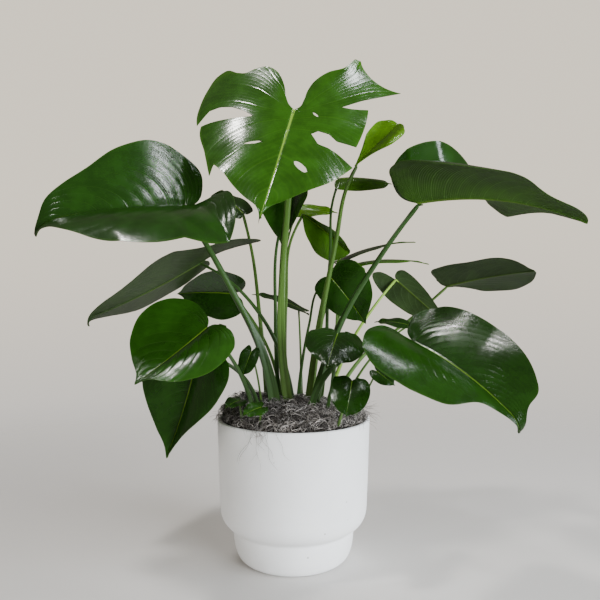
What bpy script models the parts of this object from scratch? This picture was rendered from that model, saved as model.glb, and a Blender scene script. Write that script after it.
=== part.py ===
"""Potted young monstera: a white ceramic cover pot with a stepped foot, a body of soil, a mat of
dried moss, and 28 leaves, each a thin blade on its own petiole.

Metres, +Z up. The origin is the centre of the pot's flat base, and -Y is the front.
"""

import math

import bmesh
import bpy
import numpy as np

MM = 0.001

# Pot: a turned shell, radii and heights in metres
RIM_RADIUS = 0.111
RIM_HEIGHT = 0.205
WAIST_RADIUS = 0.107
STEP_RADIUS = 0.088
STEP_HEIGHT = 0.046
FOOT_RADIUS = 0.072
WALL = 0.006
FLOOR = 0.009
TURN_STEPS = 32

# Soil and moss
FIT_GAP = 0.0003
SOIL_TOP = 0.175
MOSS_RADIUS = 0.1042
MOSS_EDGE = 0.207
MOSS_CENTRE = 0.226
MOSS_CLUMP = 0.020
CLUMP_AT = (-0.070, -0.010)
CLUMP_SPREAD = 0.038

# Leaves
BLADE = 0.0008
HOLE_GAP = 0.0004
PETIOLE_FOOT = 0.150
FAN = 0.30

# One half of a heart shape, x in leaf lengths from the joint, y in half widths from the midrib.
# The sinus runs from the joint to the back of the lobe, and the margin on from there to the tip.
SINUS = [(0, 0), (-0.05, 0.03), (-0.14, 0.12), (-0.20, 0.30)]
YOUNG_SINUS = [(0, 0), (-0.005, 0.02), (-0.01, 0.04)]
MARGINS = {
    "broad": [(-0.20, 0.30), (-0.22, 0.60), (-0.08, 0.87), (0.14, 1.00), (0.38, 0.99),
              (0.62, 0.80), (0.81, 0.43), (0.92, 0.12), (0.97, 0.04), (1.0, 0.0)],
    "acute": [(-0.20, 0.30), (-0.22, 0.60), (-0.08, 0.87), (0.12, 1.00), (0.34, 0.90),
              (0.58, 0.62), (0.78, 0.32), (0.91, 0.09), (1.0, 0.0)],
    "blunt": [(-0.20, 0.30), (-0.22, 0.60), (-0.08, 0.87), (0.14, 1.00), (0.40, 1.00),
              (0.64, 0.88), (0.82, 0.62), (0.92, 0.32), (0.96, 0.08), (1.0, 0.0)],
    "straight": [(-0.20, 0.30), (-0.22, 0.60), (-0.08, 0.84), (0.12, 0.97), (0.32, 0.87),
                 (0.58, 0.56), (0.82, 0.30), (0.94, 0.06), (1.0, 0.0)],
    "shouldered": [(-0.20, 0.30), (-0.22, 0.60), (-0.08, 0.87), (0.14, 1.00), (0.40, 1.00),
                   (0.64, 0.89), (0.82, 0.65), (0.91, 0.18), (0.96, 0.09), (1.0, 0.0)],
    "drawn": [(-0.20, 0.30), (-0.22, 0.60), (-0.08, 0.87), (0.12, 1.00), (0.34, 0.91),
              (0.58, 0.69), (0.78, 0.18), (0.91, 0.06), (1.0, 0.0)],
    "late": [(-0.20, 0.30), (-0.22, 0.60), (-0.08, 0.75), (0.12, 0.92), (0.34, 1.02),
             (0.58, 0.70), (0.78, 0.40), (0.91, 0.12), (1.0, 0.0)],
    "flared": [(-0.20, 0.30), (-0.22, 0.60), (-0.08, 0.87), (0.12, 1.05), (0.34, 0.95),
               (0.58, 0.57), (0.78, 0.24), (0.91, 0.18), (1.0, 0.0)],
    "parallel": [(-0.20, 0.30), (-0.22, 0.60), (-0.08, 0.93), (0.14, 0.94), (0.38, 0.87),
                 (0.62, 0.88), (0.81, 0.59), (0.92, 0.30), (0.97, 0.08), (1.0, 0.0)],
    "young": [(-0.01, 0.04), (0.12, 0.35), (0.36, 0.78), (0.60, 1.00), (0.82, 0.88),
              (0.95, 0.45), (1.0, 0.0)],
    "wedge": [(-0.01, 0.04), (0.12, 0.25), (0.36, 0.88), (0.60, 1.04), (0.82, 0.77),
              (0.95, 0.35), (1.0, 0.0)],
    "spoon": [(-0.01, 0.04), (0.12, 0.08), (0.36, 0.45), (0.60, 1.00), (0.82, 1.10),
              (0.95, 0.75), (1.0, 0.0)],
}

# The split leaf: each half is a sinus, the margin points of its fingers, and the lines between
# the fingers, all in leaf lengths. A line's knot is (u, x, y), or (u, x, y, x, y) where it opens.
SPLIT_LEFT = dict(
    sinus=[(0, 0), (-0.035, 0.034), (-0.10, 0.046), (-0.20, 0.052), (-0.30, 0.075)],
    fingers=[[(-0.41, 0.155), (-0.49, 0.27), (-0.60, 0.325), (-0.655, 0.36), (-0.59, 0.375),
              (-0.475, 0.47), (-0.415, 0.59)],
             [(0.01, 0.515)],
             [(0.46, 0.45), (0.57, 0.37), (0.67, 0.26), (0.78, 0.13), (0.86, 0.03)]],
    lines=[[(0, 0.05, 0), (0.4, -0.11, 0.32), (0.6, -0.22, 0.45, -0.115, 0.39),
            (0.8, -0.31, 0.58, -0.13, 0.45), (1, -0.404, 0.714, -0.15, 0.51)],
           [(0, 0.20, 0), (0.34, 0.19, 0.165), (0.5, 0.15, 0.207, 0.265, 0.23),
            (0.65, 0.155, 0.285, 0.277, 0.304), (0.8, 0.20, 0.35, 0.31, 0.38),
            (1, 0.202, 0.49, 0.385, 0.499)]])
SPLIT_RIGHT = dict(
    sinus=[(0, 0), (-0.035, 0.045), (-0.09, 0.077), (-0.20, 0.119), (-0.28, 0.165)],
    fingers=[[(-0.335, 0.215), (-0.374, 0.29), (-0.355, 0.38), (-0.32, 0.45), (-0.335, 0.52),
              (-0.385, 0.64), (-0.34, 0.71), (-0.197, 0.748), (-0.022, 0.746), (0.13, 0.72)],
             [(0.235, 0.649), (0.456, 0.545), (0.65, 0.445), (0.676, 0.431), (0.645, 0.428)],
             [(0.65, 0.335), (0.733, 0.25), (0.816, 0.14), (0.88, 0.045)]],
    lines=[[(0, 0.05, 0), (0.38, 0.123, 0.267), (0.55, 0.077, 0.345, 0.145, 0.36),
            (0.7, 0.04, 0.45, 0.16, 0.45), (0.82, 0.033, 0.55, 0.175, 0.54),
            (0.92, 0.06, 0.635, 0.19, 0.60), (1, 0.19, 0.695, 0.208, 0.65)],
           [(0, 0.20, 0), (1, 0.577, 0.432)]])

# What a leaf has where its entry says nothing else. Angles in degrees, pairs are (left, right)
# as seen from above with the tip pointing away: fold lifts a half from the midrib, curl bends it
# back down to its margin, arch bends the midrib, lobes bends it behind the joint, hook at the tip.
USUAL = dict(face=(0, -0.5, 0.8), margin="broad", halves=(1, 1), fold=(15, 15), curl=(30, 30),
             arch=25, lobes=30, back=(1, 1), hook=0, hook_from=0.8, green="leaf")

# The leaves, in millimetres: joint is where the petiole meets the blade, face the way the upper
# side looks, foot the petiole's place in the soil, route the points it passes, radii foot and top.
LEAVES = {
    "split_leaf": dict(
        joint=(1, 0, 652), tip=(-45, -100, 478), face=(0, -1, 0.3), width=280,
        split=(SPLIT_LEFT, SPLIT_RIGHT), fold=(3, 3), curl=(12, 34), arch=0, lobes=0,
        foot=(8, 0), route=[(-17, 0, 304), (-16, 10, 419), (-7, 30, 540)], radii=(6, 4.5)),
    "left_large_leaf": dict(
        joint=(-156, -20, 506), tip=(-332, -110, 460), face=(-0.05, -0.64, 0.75), width=252,
        halves=(1.25, 0.92), margin=("broad", "straight"),
        fold=([(-0.35, 110), (0, 42), (0.3, 37), (0.6, 37), (1, 25)], 32),
        curl=([(-0.35, 149), (0, 67), (0.3, 44), (0.6, 59), (1, 71)], 0), arch=22, lobes=-37,
        hook=68, hook_from=0.75, back=(0.7, 0.87),
        foot=(-25, -12), route=[(-49, -20, 311), (-88, -30, 392), (-125, -30, 458)],
        radii=(7, 3.2), green="dark"),
    "left_long_leaf": dict(
        joint=(-146, 60, 432), tip=(-287, -40, 339), face=(-0.19, 0.58, 0.82), width=158,
        halves=(1.11, 1.2), margin="late", fold=([(-0.4, -25), (0, -19), (0.3, -7)], 17),
        curl=(6, -4), arch=-12, lobes=70, hook=100, hook_from=0.85, back=(2, 0.6),
        foot=(-2, 18), route=[(-32, 22, 323), (-79, 30, 387)], radii=(4, 2), green="under"),
    "left_rolled_leaf": dict(
        joint=(-104, 122, 383), tip=(-200, 152, 382), face=(0, -0.95, 0.3), width=90,
        margin="acute", fold=(0, 60), curl=(15, 15),
        foot=(-18, 30), route=[(-58, 118, 322)], radii=(3.5, 2), green="dark"),
    "lower_left_round_leaf": dict(
        joint=(-108, -130, 344), tip=(-186, -184, 281), face=(-0.4, -0.6, 0.75), width=142,
        halves=(0.8, 1.2), fold=(10, 9), curl=(60, -20), arch=-5, lobes=50, back=(0.54, 0.71),
        foot=(-40, -56), route=[(-83, -92, 304)], radii=(3.5, 2.2)),
    "lower_left_hanging_leaf": dict(
        joint=(-128, -75, 305), tip=(-168, -93, 168), face=(-0.4, -0.65, 0.5), width=138,
        margin="acute", halves=(1.05, 1.2), fold=(35, 42), curl=(59, 43), arch=-15, lobes=15,
        back=(0.4, 0.8),
        foot=(-50, -30), route=[(-88, -60, 288)], radii=(3.5, 2.2)),
    "right_large_leaf": dict(
        joint=(179, -10, 515), tip=(396, -74, 481), face=(-0.02, -0.05, 1.0), width=212,
        halves=(0.79, 1.15), margin=("acute", "flared"),
        fold=([(0, 105), (0.15, 85), (0.3, 35), (0.42, -5), (0.55, -22), (0.8, -10)],
              [(0, 61), (1, 33)]),
        curl=(-7, 72), arch=35, lobes=-31, back=(0.62, 0.56),
        foot=(24, -8), route=[(67, -10, 339), (125, -10, 438)], radii=(6, 3.2), green="dark"),
    "lower_right_large_leaf": dict(
        joint=(154, -130, 325), tip=(255, -223, 231), face=(0.19, -0.61, 0.73), width=176,
        halves=(0.8, 1.2), margin=("shouldered", "drawn"),
        fold=([(-0.3, 16), (0.4, 20), (1, 34)], [(-0.3, 55), (0.4, 30), (1, 18)]),
        curl=(-25, 55), arch=30, lobes=-30, hook=71, back=(0.79, 0.6),
        foot=(14, -40), route=[(58, -40, 284), (107, -82, 314)], radii=(5, 2.6), green="dark"),
    "right_oval_leaf": dict(
        joint=(246, 100, 395), tip=(348, -14, 418), face=(0, 0.75, 0.67), width=91,
        halves=(0.94, 0.93), margin=("wedge", "parallel"), fold=(18, 24), arch=11, lobes=-30,
        back=(0.1, 0.3),
        foot=(34, 14), route=[(104, 70, 280), (190, 118, 340)], radii=(4, 2), green="under"),
    "young_leaf": dict(
        joint=(94, 50, 580), tip=(161, 62, 646), face=(-0.42, -0.62, 0.6), width=58,
        margin="spoon", fold=(15, 15), curl=(0, 20), arch=5,
        foot=(20, 22), route=[(39, 20, 337), (64, 30, 465), (79, 40, 541)], radii=(6, 2.5),
        green="young"),
    "right_rolled_leaf": dict(
        joint=(72, 80, 565), tip=(153, 70, 555), face=(0, -0.6, 0.8), width=52,
        margin="blunt", fold=(-15, -5), back=(0.4, 0.4),
        foot=(30, 34), route=[(50, 58, 300), (54, 78, 400), (57, 64, 450), (59, 66, 520)],
        radii=(3.5, 1.8)),
    "shaded_top_leaf": dict(
        joint=(-6, 60, 533), tip=(-19, 45, 458), face=(-0.1, -0.9, 0.3), width=90,
        margin="acute", fold=(60, 20),
        foot=(-14, 12), route=[(-28, 42, 354), (-25, 58, 466)], radii=(3.5, 2), green="dark"),
    "bright_folded_leaf": dict(
        joint=(14, 100, 511), tip=(88, 75, 447), face=(-0.3, -0.8, 0.5), width=72,
        margin="young", halves=(0.45, 1), fold=(85, -5),
        foot=(-6, 34), route=[(-12, 60, 374), (-3, 98, 475)], radii=(3.5, 2)),
    "centre_heart_leaf": dict(
        joint=(58, 58, 408), tip=(109, 28, 338), face=(0.1, -0.9, 0.3), width=92,
        halves=(1, 0.75), fold=(35, 0), back=(0.5, 0.5),
        foot=(4, 38), route=[(24, 68, 336), (38, 72, 390)], radii=(3, 1.6), green="dark"),
    "right_underside_leaf": dict(
        joint=(165, 100, 405), tip=(246, 60, 327), face=(-0.1, 0.9, 0.3), width=90,
        margin="acute", halves=(0.75, 0.5), fold=(-5, 30), back=(1.3, 0.3),
        foot=(40, 38), route=[(87, 60, 304), (128, 80, 364)], radii=(3.5, 1.8), green="under"),
    "thin_right_leaf": dict(
        joint=(80, 125, 441), tip=(205, 150, 470), face=(-0.2, -0.05, 1), width=56,
        margin="acute", fold=(5, 5), back=(0.5, 0.5),
        foot=(16, 48), route=[(46, 105, 341)], radii=(3, 1.5), green="dark"),
    "pale_right_leaf": dict(
        joint=(105, 140, 433), tip=(230, 160, 433), face=(0, -0.1, 1), width=46, fold=(5, 5),
        foot=(32, 52), route=[(71, 104, 340)], radii=(3, 1.5)),
    "front_heart_leaf": dict(
        joint=(60, -80, 333), tip=(43, -130, 292), face=(0, -0.8, 0.6), width=80, fold=(5, 5),
        back=(0.55, 0.55),
        foot=(30, -32), route=[(58, -50, 286)], radii=(3, 1.8), green="dark"),
    "front_round_leaf": dict(
        joint=(77, -110, 274), tip=(67, -140, 233), face=(0, -0.9, 0.4), width=50,
        margin="blunt", back=(0.35, 0.35), foot=(46, -52), route=[], radii=(2.5, 1.5), green="dark"),
    "small_right_leaf": dict(
        joint=(116, -50, 278), tip=(140, -60, 259), face=(0, -0.9, 0.4), width=26,
        foot=(58, -26), route=[], radii=(2, 1.2), green="dark"),
    "small_left_leaf": dict(
        joint=(-58, -50, 305), tip=(-69, -65, 274), face=(0, -0.9, 0.4), width=26,
        margin="blunt", foot=(-50, -14), route=[(-50, -40, 268)], radii=(2, 1.2), green="dark"),
    "low_green_leaf": dict(
        joint=(-42, -87, 235), tip=(-66, -107, 227), face=(0, -0.7, 0.7), width=24,
        foot=(-50, -66), route=[], radii=(1.8, 1.2)),
    "low_brown_leaf": dict(
        joint=(-72, -70, 241), tip=(-89, -100, 236), face=(0, -0.6, 0.8), width=24,
        foot=(-66, -48), route=[], radii=(1.8, 1.2), green="dark"),
    "thin_back_leaf": dict(
        joint=(8, 130, 359), tip=(-70, 120, 382), face=(0, -0.35, 1), width=34,
        foot=(12, 64), route=[(10, 100, 300)], radii=(2.5, 1.4), green="dark"),
    "dark_edge_leaf": dict(
        joint=(175, 50, 336), tip=(126, 70, 339), face=(0, -0.35, 1), width=34,
        foot=(58, 8), route=[(132, 40, 301)], radii=(2.5, 1.4), green="dark"),
    "back_left_leaf": dict(
        joint=(-82, 92, 512), tip=(-133, 162, 554), face=(-0.3, -0.4, 0.9), width=40,
        margin="acute", back=(0.4, 0.4),
        foot=(-34, 8), route=[(-53, 50, 354), (-68, 90, 453)], radii=(4, 2.2), green="dark"),
    "yellow_leaf": dict(
        joint=(3, 126, 518), tip=(71, 106, 514), face=(0, -0.8, 0.6), width=28,
        back=(0.4, 0.4),
        foot=(-2, 60), route=[(-19, 84, 342), (-14, 108, 453)], radii=(2.8, 1.4), green="young"),
    "short_green_leaf": dict(
        joint=(69, 85, 431), tip=(114, 60, 411), face=(0, -0.5, 0.9), width=42, fold=(15, 40),
        back=(0.4, 0.4),
        foot=(46, 48), route=[(69, 92, 357)], radii=(3, 1.5)),
}

COLOURS = {
    "pot": ((0.74, 0.75, 0.76), 0.65),
    "soil": ((0.03, 0.02, 0.015), 0.95),
    "moss": ((0.21, 0.19, 0.17), 0.95),
    "leaf": ((0.045, 0.14, 0.015), 0.30),
    "dark": ((0.015, 0.05, 0.012), 0.30),
    "under": ((0.07, 0.11, 0.04), 0.55),
    "young": ((0.18, 0.36, 0.02), 0.35),
    "petiole": ((0.07, 0.16, 0.03), 0.45),
}


def smooth(points, fractions):
    """Points of a smooth curve through the given points, at fractions of its chord length."""
    pts = np.asarray(points, float)
    steps = np.linalg.norm(np.diff(pts, axis=0), axis=1)
    knots = np.concatenate([[0], np.cumsum(steps)]) / steps.sum()
    gaps = np.diff(knots)[:, None]
    chords = np.diff(pts, axis=0) / gaps
    if len(pts) == 2:
        slopes = np.vstack([chords, chords])
    else:
        inner = (gaps[1:] * chords[:-1] + gaps[:-1] * chords[1:]) / (gaps[:-1] + gaps[1:])
        slopes = np.vstack([2 * chords[:1] - inner[:1], inner, 2 * chords[-1:] - inner[-1:]])
    t = np.clip(np.asarray(fractions, float), 0, 1)
    i = np.clip(np.searchsorted(knots, t, side="right") - 1, 0, len(pts) - 2)
    h = (knots[i + 1] - knots[i])[:, None]
    s = (t - knots[i])[:, None] / h
    return ((2 * s**3 - 3 * s**2 + 1) * pts[i] + (s**3 - 2 * s**2 + s) * h * slopes[i]
            + (3 * s**2 - 2 * s**3) * pts[i + 1] + (s**3 - s**2) * h * slopes[i + 1])


def coons(root, outer, first, last):
    """A flat grid filled between four edges: root and outer along t, first and last along u."""
    u = np.linspace(0, 1, len(first))[None, :, None]
    t = np.linspace(0, 1, len(root))[:, None, None]
    corners = ((1 - t) * (1 - u) * root[0] + (1 - t) * u * outer[0]
               + t * (1 - u) * root[-1] + t * u * outer[-1])
    return (root[:, None] * (1 - u) + outer[:, None] * u
            + (1 - t) * first[None] + t * last[None] - corners)


def heart_half(shape, across, along):
    """One entire half of a leaf as a flat grid, from its midrib to its margin."""
    sinus = SINUS if MARGINS[shape][0] == SINUS[-1] else YOUNG_SINUS
    t = np.linspace(0, 1, along + 1) ** 0.93
    u = np.linspace(0, 1, across + 1)[None, :, None]
    first = smooth(sinus, u.ravel())
    outer = smooth(MARGINS[shape], t)
    midrib = np.clip((t - FAN) / (1 - FAN), 0, 1) ** 1.15
    root = np.stack([midrib, 0 * midrib], -1)
    t = t[:, None, None]
    corners = (1 - t) * u * outer[0] + t * np.array([1.0, 0.0])
    return (root[:, None] * (1 - u) + outer[:, None] * u + (1 - t) * first[None]
            + t * np.array([1.0, 0.0]) - corners)


def split_line(knots, u, after):
    """The line between two fingers at u: its side before the opening, or the one after it."""
    rows = np.array([(k[0], *(k[3:5] if after and len(k) == 5 else k[1:3])) for k in knots], float)
    return np.stack([np.interp(u, rows[:, 0], rows[:, 1]), np.interp(u, rows[:, 0], rows[:, 2])], -1)


def relax(grid, rounds):
    """Moves the inner points of a flat grid until its lines no longer cross: Winslow's equations,
    g_uu |g_t|^2 - 2 g_ut (g_u . g_t) + g_tt |g_u|^2 = 0, solved step by step."""
    g = grid.copy()
    for _ in range(rounds):
        du = (g[1:-1, 2:] - g[1:-1, :-2]) / 2
        dt = (g[2:, 1:-1] - g[:-2, 1:-1]) / 2
        a = (dt**2).sum(-1, keepdims=True) + 1e-12
        b = (du * dt).sum(-1, keepdims=True)
        c = (du**2).sum(-1, keepdims=True) + 1e-12
        cross = (g[2:, 2:] - g[:-2, 2:] - g[2:, :-2] + g[:-2, :-2]) / 4
        g[1:-1, 1:-1] = (a * (g[1:-1, 2:] + g[1:-1, :-2]) + c * (g[2:, 1:-1] + g[:-2, 1:-1])
                         - 2 * b * cross) / (2 * (a + c))
    return g


def split_half(half, across, along):
    """One half of the split leaf: a flat grid for each finger."""
    u = np.linspace(0, 1, across + 1)
    lines = half["lines"]
    grids = []
    for i, margin in enumerate(half["fingers"]):
        t = np.linspace(0, 1, (2 * along if i == 0 else along) + 1)
        first = smooth(half["sinus"], u) if i == 0 else split_line(lines[i - 1], u, True)
        tip = np.tile([1.0, 0.0], (len(u), 1))
        last = tip if i == len(lines) else split_line(lines[i], u, False)
        outer = smooth([tuple(first[-1])] + margin + [tuple(last[-1])], t)
        way = np.clip(2 * t - 1, 0, 1) if i == 0 else t
        root = first[0] * (1 - way[:, None]) + last[0] * way[:, None]
        grids.append(relax(coons(root, outer, first, last), 300))
    return grids


def value(setting, x):
    """A setting at x: a plain number, or a list of (x, number) pairs read between."""
    if isinstance(setting, list):
        return np.interp(x, [p[0] for p in setting], [p[1] for p in setting])
    return setting


def bend(x, y, leaf, length, half_width, fold, curl):
    """Bends flat points (x forward, y out) and gives (forward, out, up) and the tip's place.

    The midrib turns by arch, lobes and hook along x; across it a half is a circular arc that
    leaves the midrib at the angle fold and turns by curl on its way to the margin."""
    a = np.linspace(-0.6, 1.1, 341)
    turn = -np.radians(np.where(a < 0, leaf["lobes"], leaf["arch"])) * a
    start = leaf["hook_from"]
    turn = turn - math.radians(leaf["hook"]) * np.clip((a - start) / (1 - start), 0, 1.5) ** 2
    step = a[1] - a[0]
    middle = (turn[1:] + turn[:-1]) / 2
    forward = np.concatenate([[0], np.cumsum(np.cos(middle) * step)])
    up = np.concatenate([[0], np.cumsum(np.sin(middle) * step)])
    forward -= np.interp(0, a, forward)
    up -= np.interp(0, a, up)
    xs = x / length
    half_turn = np.radians(value(curl, xs)) / half_width * y / 2
    chord = y * np.sinc(half_turn / np.pi)
    rise = np.radians(value(fold, xs)) - half_turn
    lift = chord * np.sin(rise)
    angle = np.interp(xs, a, turn)
    px = np.interp(xs, a, forward) * length - lift * np.sin(angle)
    pz = np.interp(xs, a, up) * length + lift * np.cos(angle)
    return px, chord * np.cos(rise), pz, np.interp(1.0, a, forward), np.interp(1.0, a, up)


def leaf_frame(leaf):
    """The joint, and the unit vectors forward to the tip, left, and up out of the upper side."""
    joint = np.array(leaf["joint"], float) * MM
    reach = np.array(leaf["tip"], float) * MM - joint
    forward = reach / np.linalg.norm(reach)
    face = np.array(leaf["face"], float)
    face -= face.dot(forward) * forward
    face /= np.linalg.norm(face)
    return joint, np.linalg.norm(reach), forward, np.cross(face, forward), face


def place(leaf, grid, side):
    """A half's flat grid bent and set in the room: side 0 is the left half, 1 the right one."""
    joint, reach, forward, left, face = leaf_frame(leaf)
    zero = np.zeros(1)
    probe = bend(zero, zero, leaf, 1.0, 1.0, 0.0, 0.0)
    length = reach / math.hypot(probe[3], probe[4])
    half_width = leaf["width"] / 2 * MM * leaf["halves"][side]
    x = grid[..., 0] * length * np.where(grid[..., 0] < 0, leaf["back"][side], 1.0)
    y = grid[..., 1] * (length if "split" in leaf else half_width)
    px, py, pz, tip_x, tip_z = bend(x, y, leaf, length, half_width,
                                    leaf["fold"][side], leaf["curl"][side])
    angle = math.atan2(tip_z, tip_x)
    along = px * math.cos(angle) + pz * math.sin(angle)
    above = pz * math.cos(angle) - px * math.sin(angle)
    out = py if side == 0 else -py
    return (joint + along[..., None] * forward + out[..., None] * left
            + above[..., None] * face)


def half_grids(leaf, side):
    """The flat grids of one half, finer for a larger leaf."""
    if "split" in leaf:
        return split_half(leaf["split"][side], 6, 5)
    margin = leaf["margin"] if isinstance(leaf["margin"], str) else leaf["margin"][side]
    across, along = (4, 12) if leaf["width"] > 100 else (2, 8) if leaf["width"] > 40 else (2, 6)
    return [heart_half(margin, across, along)]


def new_collection(name):
    collection = bpy.data.collections.new(name)
    bpy.context.scene.collection.children.link(collection)
    return collection


def material(name, kind):
    colour, roughness = COLOURS[kind]
    made = bpy.data.materials.new(name)
    made.use_nodes = True
    shader = made.node_tree.nodes["Principled BSDF"]
    shader.inputs["Base Color"].default_value = (*colour, 1.0)
    shader.inputs["Roughness"].default_value = roughness
    shader.inputs["Metallic"].default_value = 0.0
    return made


def add_object(name, mesh, kind, collection):
    obj = bpy.data.objects.new(name, mesh)
    mesh.materials.clear()
    mesh.materials.append(material(name, kind))
    mesh.shade_smooth()
    mesh.set_sharp_from_angle(angle=math.radians(40))
    collection.objects.link(obj)
    return obj


def turned(name, profile, kind, collection):
    """A solid turned about Z from a profile of (radius, height) that runs down its outer side."""
    mesh = bpy.data.meshes.new(name)
    points = [(radius, 0.0, height) for radius, height in profile]
    mesh.from_pydata(points, [(i, i + 1) for i in range(len(points) - 1)], [])
    obj = add_object(name, mesh, kind, collection)
    screw = obj.modifiers.new("Turn", "SCREW")
    screw.steps = TURN_STEPS
    screw.render_steps = TURN_STEPS
    screw.use_merge_vertices = True
    screw.merge_threshold = 0.0001
    screw.use_smooth_shade = True
    return obj


def as_mesh(obj):
    """The object's evaluated mesh in place of the object, welded, with the same name."""
    depsgraph = bpy.context.evaluated_depsgraph_get()
    mesh = bpy.data.meshes.new_from_object(obj.evaluated_get(depsgraph))
    name = obj.name
    matrix = obj.matrix_world.copy()
    collection = obj.users_collection[0]
    bpy.data.objects.remove(obj)
    bm = bmesh.new()
    bm.from_mesh(mesh)
    bmesh.ops.remove_doubles(bm, verts=bm.verts, dist=0.00001)
    bm.to_mesh(mesh)
    bm.free()
    made = bpy.data.objects.new(name, mesh)
    made.matrix_world = matrix
    collection.objects.link(made)
    return made


def inner_radius(height):
    """The pot's inner radius at a height, for the soil's side."""
    outer = np.interp(height, [0.0, STEP_HEIGHT, 0.075, RIM_HEIGHT],
                      [FOOT_RADIUS, STEP_RADIUS, WAIST_RADIUS, RIM_RADIUS])
    return float(outer) - WALL


def pot_profile():
    inner = [(0.0, FLOOR), (inner_radius(0.015) - 0.004, FLOOR), (inner_radius(0.020), 0.018),
             (inner_radius(STEP_HEIGHT), STEP_HEIGHT), (inner_radius(0.075), 0.078),
             (inner_radius(0.140), 0.140), (RIM_RADIUS - WALL, RIM_HEIGHT - 0.002),
             (RIM_RADIUS - WALL + 0.002, RIM_HEIGHT)]
    outer = [(RIM_RADIUS - 0.0015, RIM_HEIGHT), (RIM_RADIUS, RIM_HEIGHT - 0.0015),
             (0.1085, 0.120), (WAIST_RADIUS, 0.075), (0.1045, 0.063), (0.098, 0.0535),
             (STEP_RADIUS + 0.001, 0.048), (STEP_RADIUS, 0.0445), (0.0872, 0.030),
             (0.0840, 0.014), (0.0785, 0.004), (FOOT_RADIUS, 0.0), (0.0, 0.0)]
    return inner + outer


def soil_profile():
    """Inside the pot's inner wall by a small gap all the way down."""
    gap = 0.0006
    return [(0.0, SOIL_TOP), (inner_radius(SOIL_TOP) - gap, SOIL_TOP),
            (inner_radius(0.140) - gap, 0.140), (inner_radius(0.075) - gap, 0.0785),
            (inner_radius(STEP_HEIGHT) - gap - 0.001, STEP_HEIGHT),
            (inner_radius(0.020) - gap, 0.019), (inner_radius(0.015) - 0.006, FLOOR + FIT_GAP),
            (0.0, FLOOR + FIT_GAP)]


def moss_lift(x, y):
    """How far the mat's top stands above its border: a low dome, a clump and small lumps."""
    radius = math.hypot(x, y) / MOSS_RADIUS
    dome = (MOSS_CENTRE - MOSS_EDGE) * max(0.0, 1 - radius**2)
    off = math.hypot(x - CLUMP_AT[0], y - CLUMP_AT[1]) / CLUMP_SPREAD
    clump = MOSS_CLUMP * math.exp(-off**2)
    lumps = 0.0016 * math.sin(210 * x + 90 * y) * math.cos(170 * y - 60 * x)
    return dome + clump + lumps * min(1.0, 3 * (1 - radius))


def build_moss(collection):
    """A turned mat whose top rings are then lifted by the dome, the clump and the lumps."""
    rings = [(MOSS_RADIUS - 0.001) * i / 7 for i in range(8)]
    profile = [(radius, MOSS_EDGE) for radius in rings]
    profile += [(MOSS_RADIUS, MOSS_EDGE - 0.003), (MOSS_RADIUS - 0.0012, SOIL_TOP + FIT_GAP),
                (0.0, SOIL_TOP + FIT_GAP)]
    moss = as_mesh(turned("moss", profile, "moss", collection))
    for vertex in moss.data.vertices:
        if vertex.co.z > MOSS_EDGE - 0.001:
            vertex.co.z += moss_lift(vertex.co.x, vertex.co.y)
    bm = bmesh.new()
    bm.from_mesh(moss.data)
    bmesh.ops.triangulate(bm, faces=bm.faces)
    bm.to_mesh(moss.data)
    bm.free()
    return moss


def build_blade(name, leaf, collection):
    """A blade: both halves as grids joined at the midrib, with the thickness on the underside."""
    bm = bmesh.new()
    for side in (0, 1):
        for flat in half_grids(leaf, side):
            points = place(leaf, flat, side)
            rows = [[bm.verts.new(p) for p in row] for row in points]
            for low, high in zip(rows[:-1], rows[1:]):
                for j in range(len(low) - 1):
                    corners = (low[j], high[j], high[j + 1], low[j + 1])
                    bm.faces.new(corners if side == 0 else corners[::-1])
    bmesh.ops.remove_doubles(bm, verts=bm.verts, dist=0.00005)
    bmesh.ops.dissolve_degenerate(bm, edges=bm.edges, dist=0.00005)
    bmesh.ops.triangulate(bm, faces=bm.faces)
    mesh = bpy.data.meshes.new(name)
    bm.to_mesh(mesh)
    bm.free()
    blade = add_object(name, mesh, leaf["green"], collection)
    solidify = blade.modifiers.new("Thickness", "SOLIDIFY")
    solidify.thickness = BLADE
    solidify.offset = -1.0
    return blade


def petiole_route(leaf):
    """Points and radii along a petiole, from its foot in the soil to just under the blade."""
    joint, _, _, _, face = leaf_frame(leaf)
    foot = (*leaf["foot"], PETIOLE_FOOT / MM)
    foot_radius, top_radius = leaf["radii"]
    end = joint / MM - face * (BLADE / MM + FIT_GAP / MM + top_radius)
    points = np.array([foot, *leaf["route"], end], float) * MM
    count = 9 + 2 * len(leaf["route"])
    ts = np.linspace(0, 1, count)
    radii = (foot_radius * (1 - ts) + top_radius * ts) * MM
    return smooth(points, ts), radii


def tube(name, points, radii, kind, collection):
    """A tapered six-sided tube through the points, made a welded mesh."""
    curve = bpy.data.curves.new(name, "CURVE")
    curve.dimensions = "3D"
    curve.bevel_depth = 1.0
    curve.bevel_resolution = 1
    curve.use_fill_caps = True
    spline = curve.splines.new("POLY")
    spline.points.add(len(points) - 1)
    for point, place_at, radius in zip(spline.points, points, radii):
        point.co = (*place_at, 1.0)
        point.radius = radius
    obj = bpy.data.objects.new(name, curve)
    collection.objects.link(obj)
    made = as_mesh(obj)
    made.data.materials.clear()
    made.data.materials.append(material(name, kind))
    return made


def cut(obj, cutters):
    boolean = obj.modifiers.new("Petiole holes", "BOOLEAN")
    boolean.operation = "DIFFERENCE"
    boolean.operand_type = "COLLECTION"
    boolean.collection = cutters
    boolean.solver = "EXACT"


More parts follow.
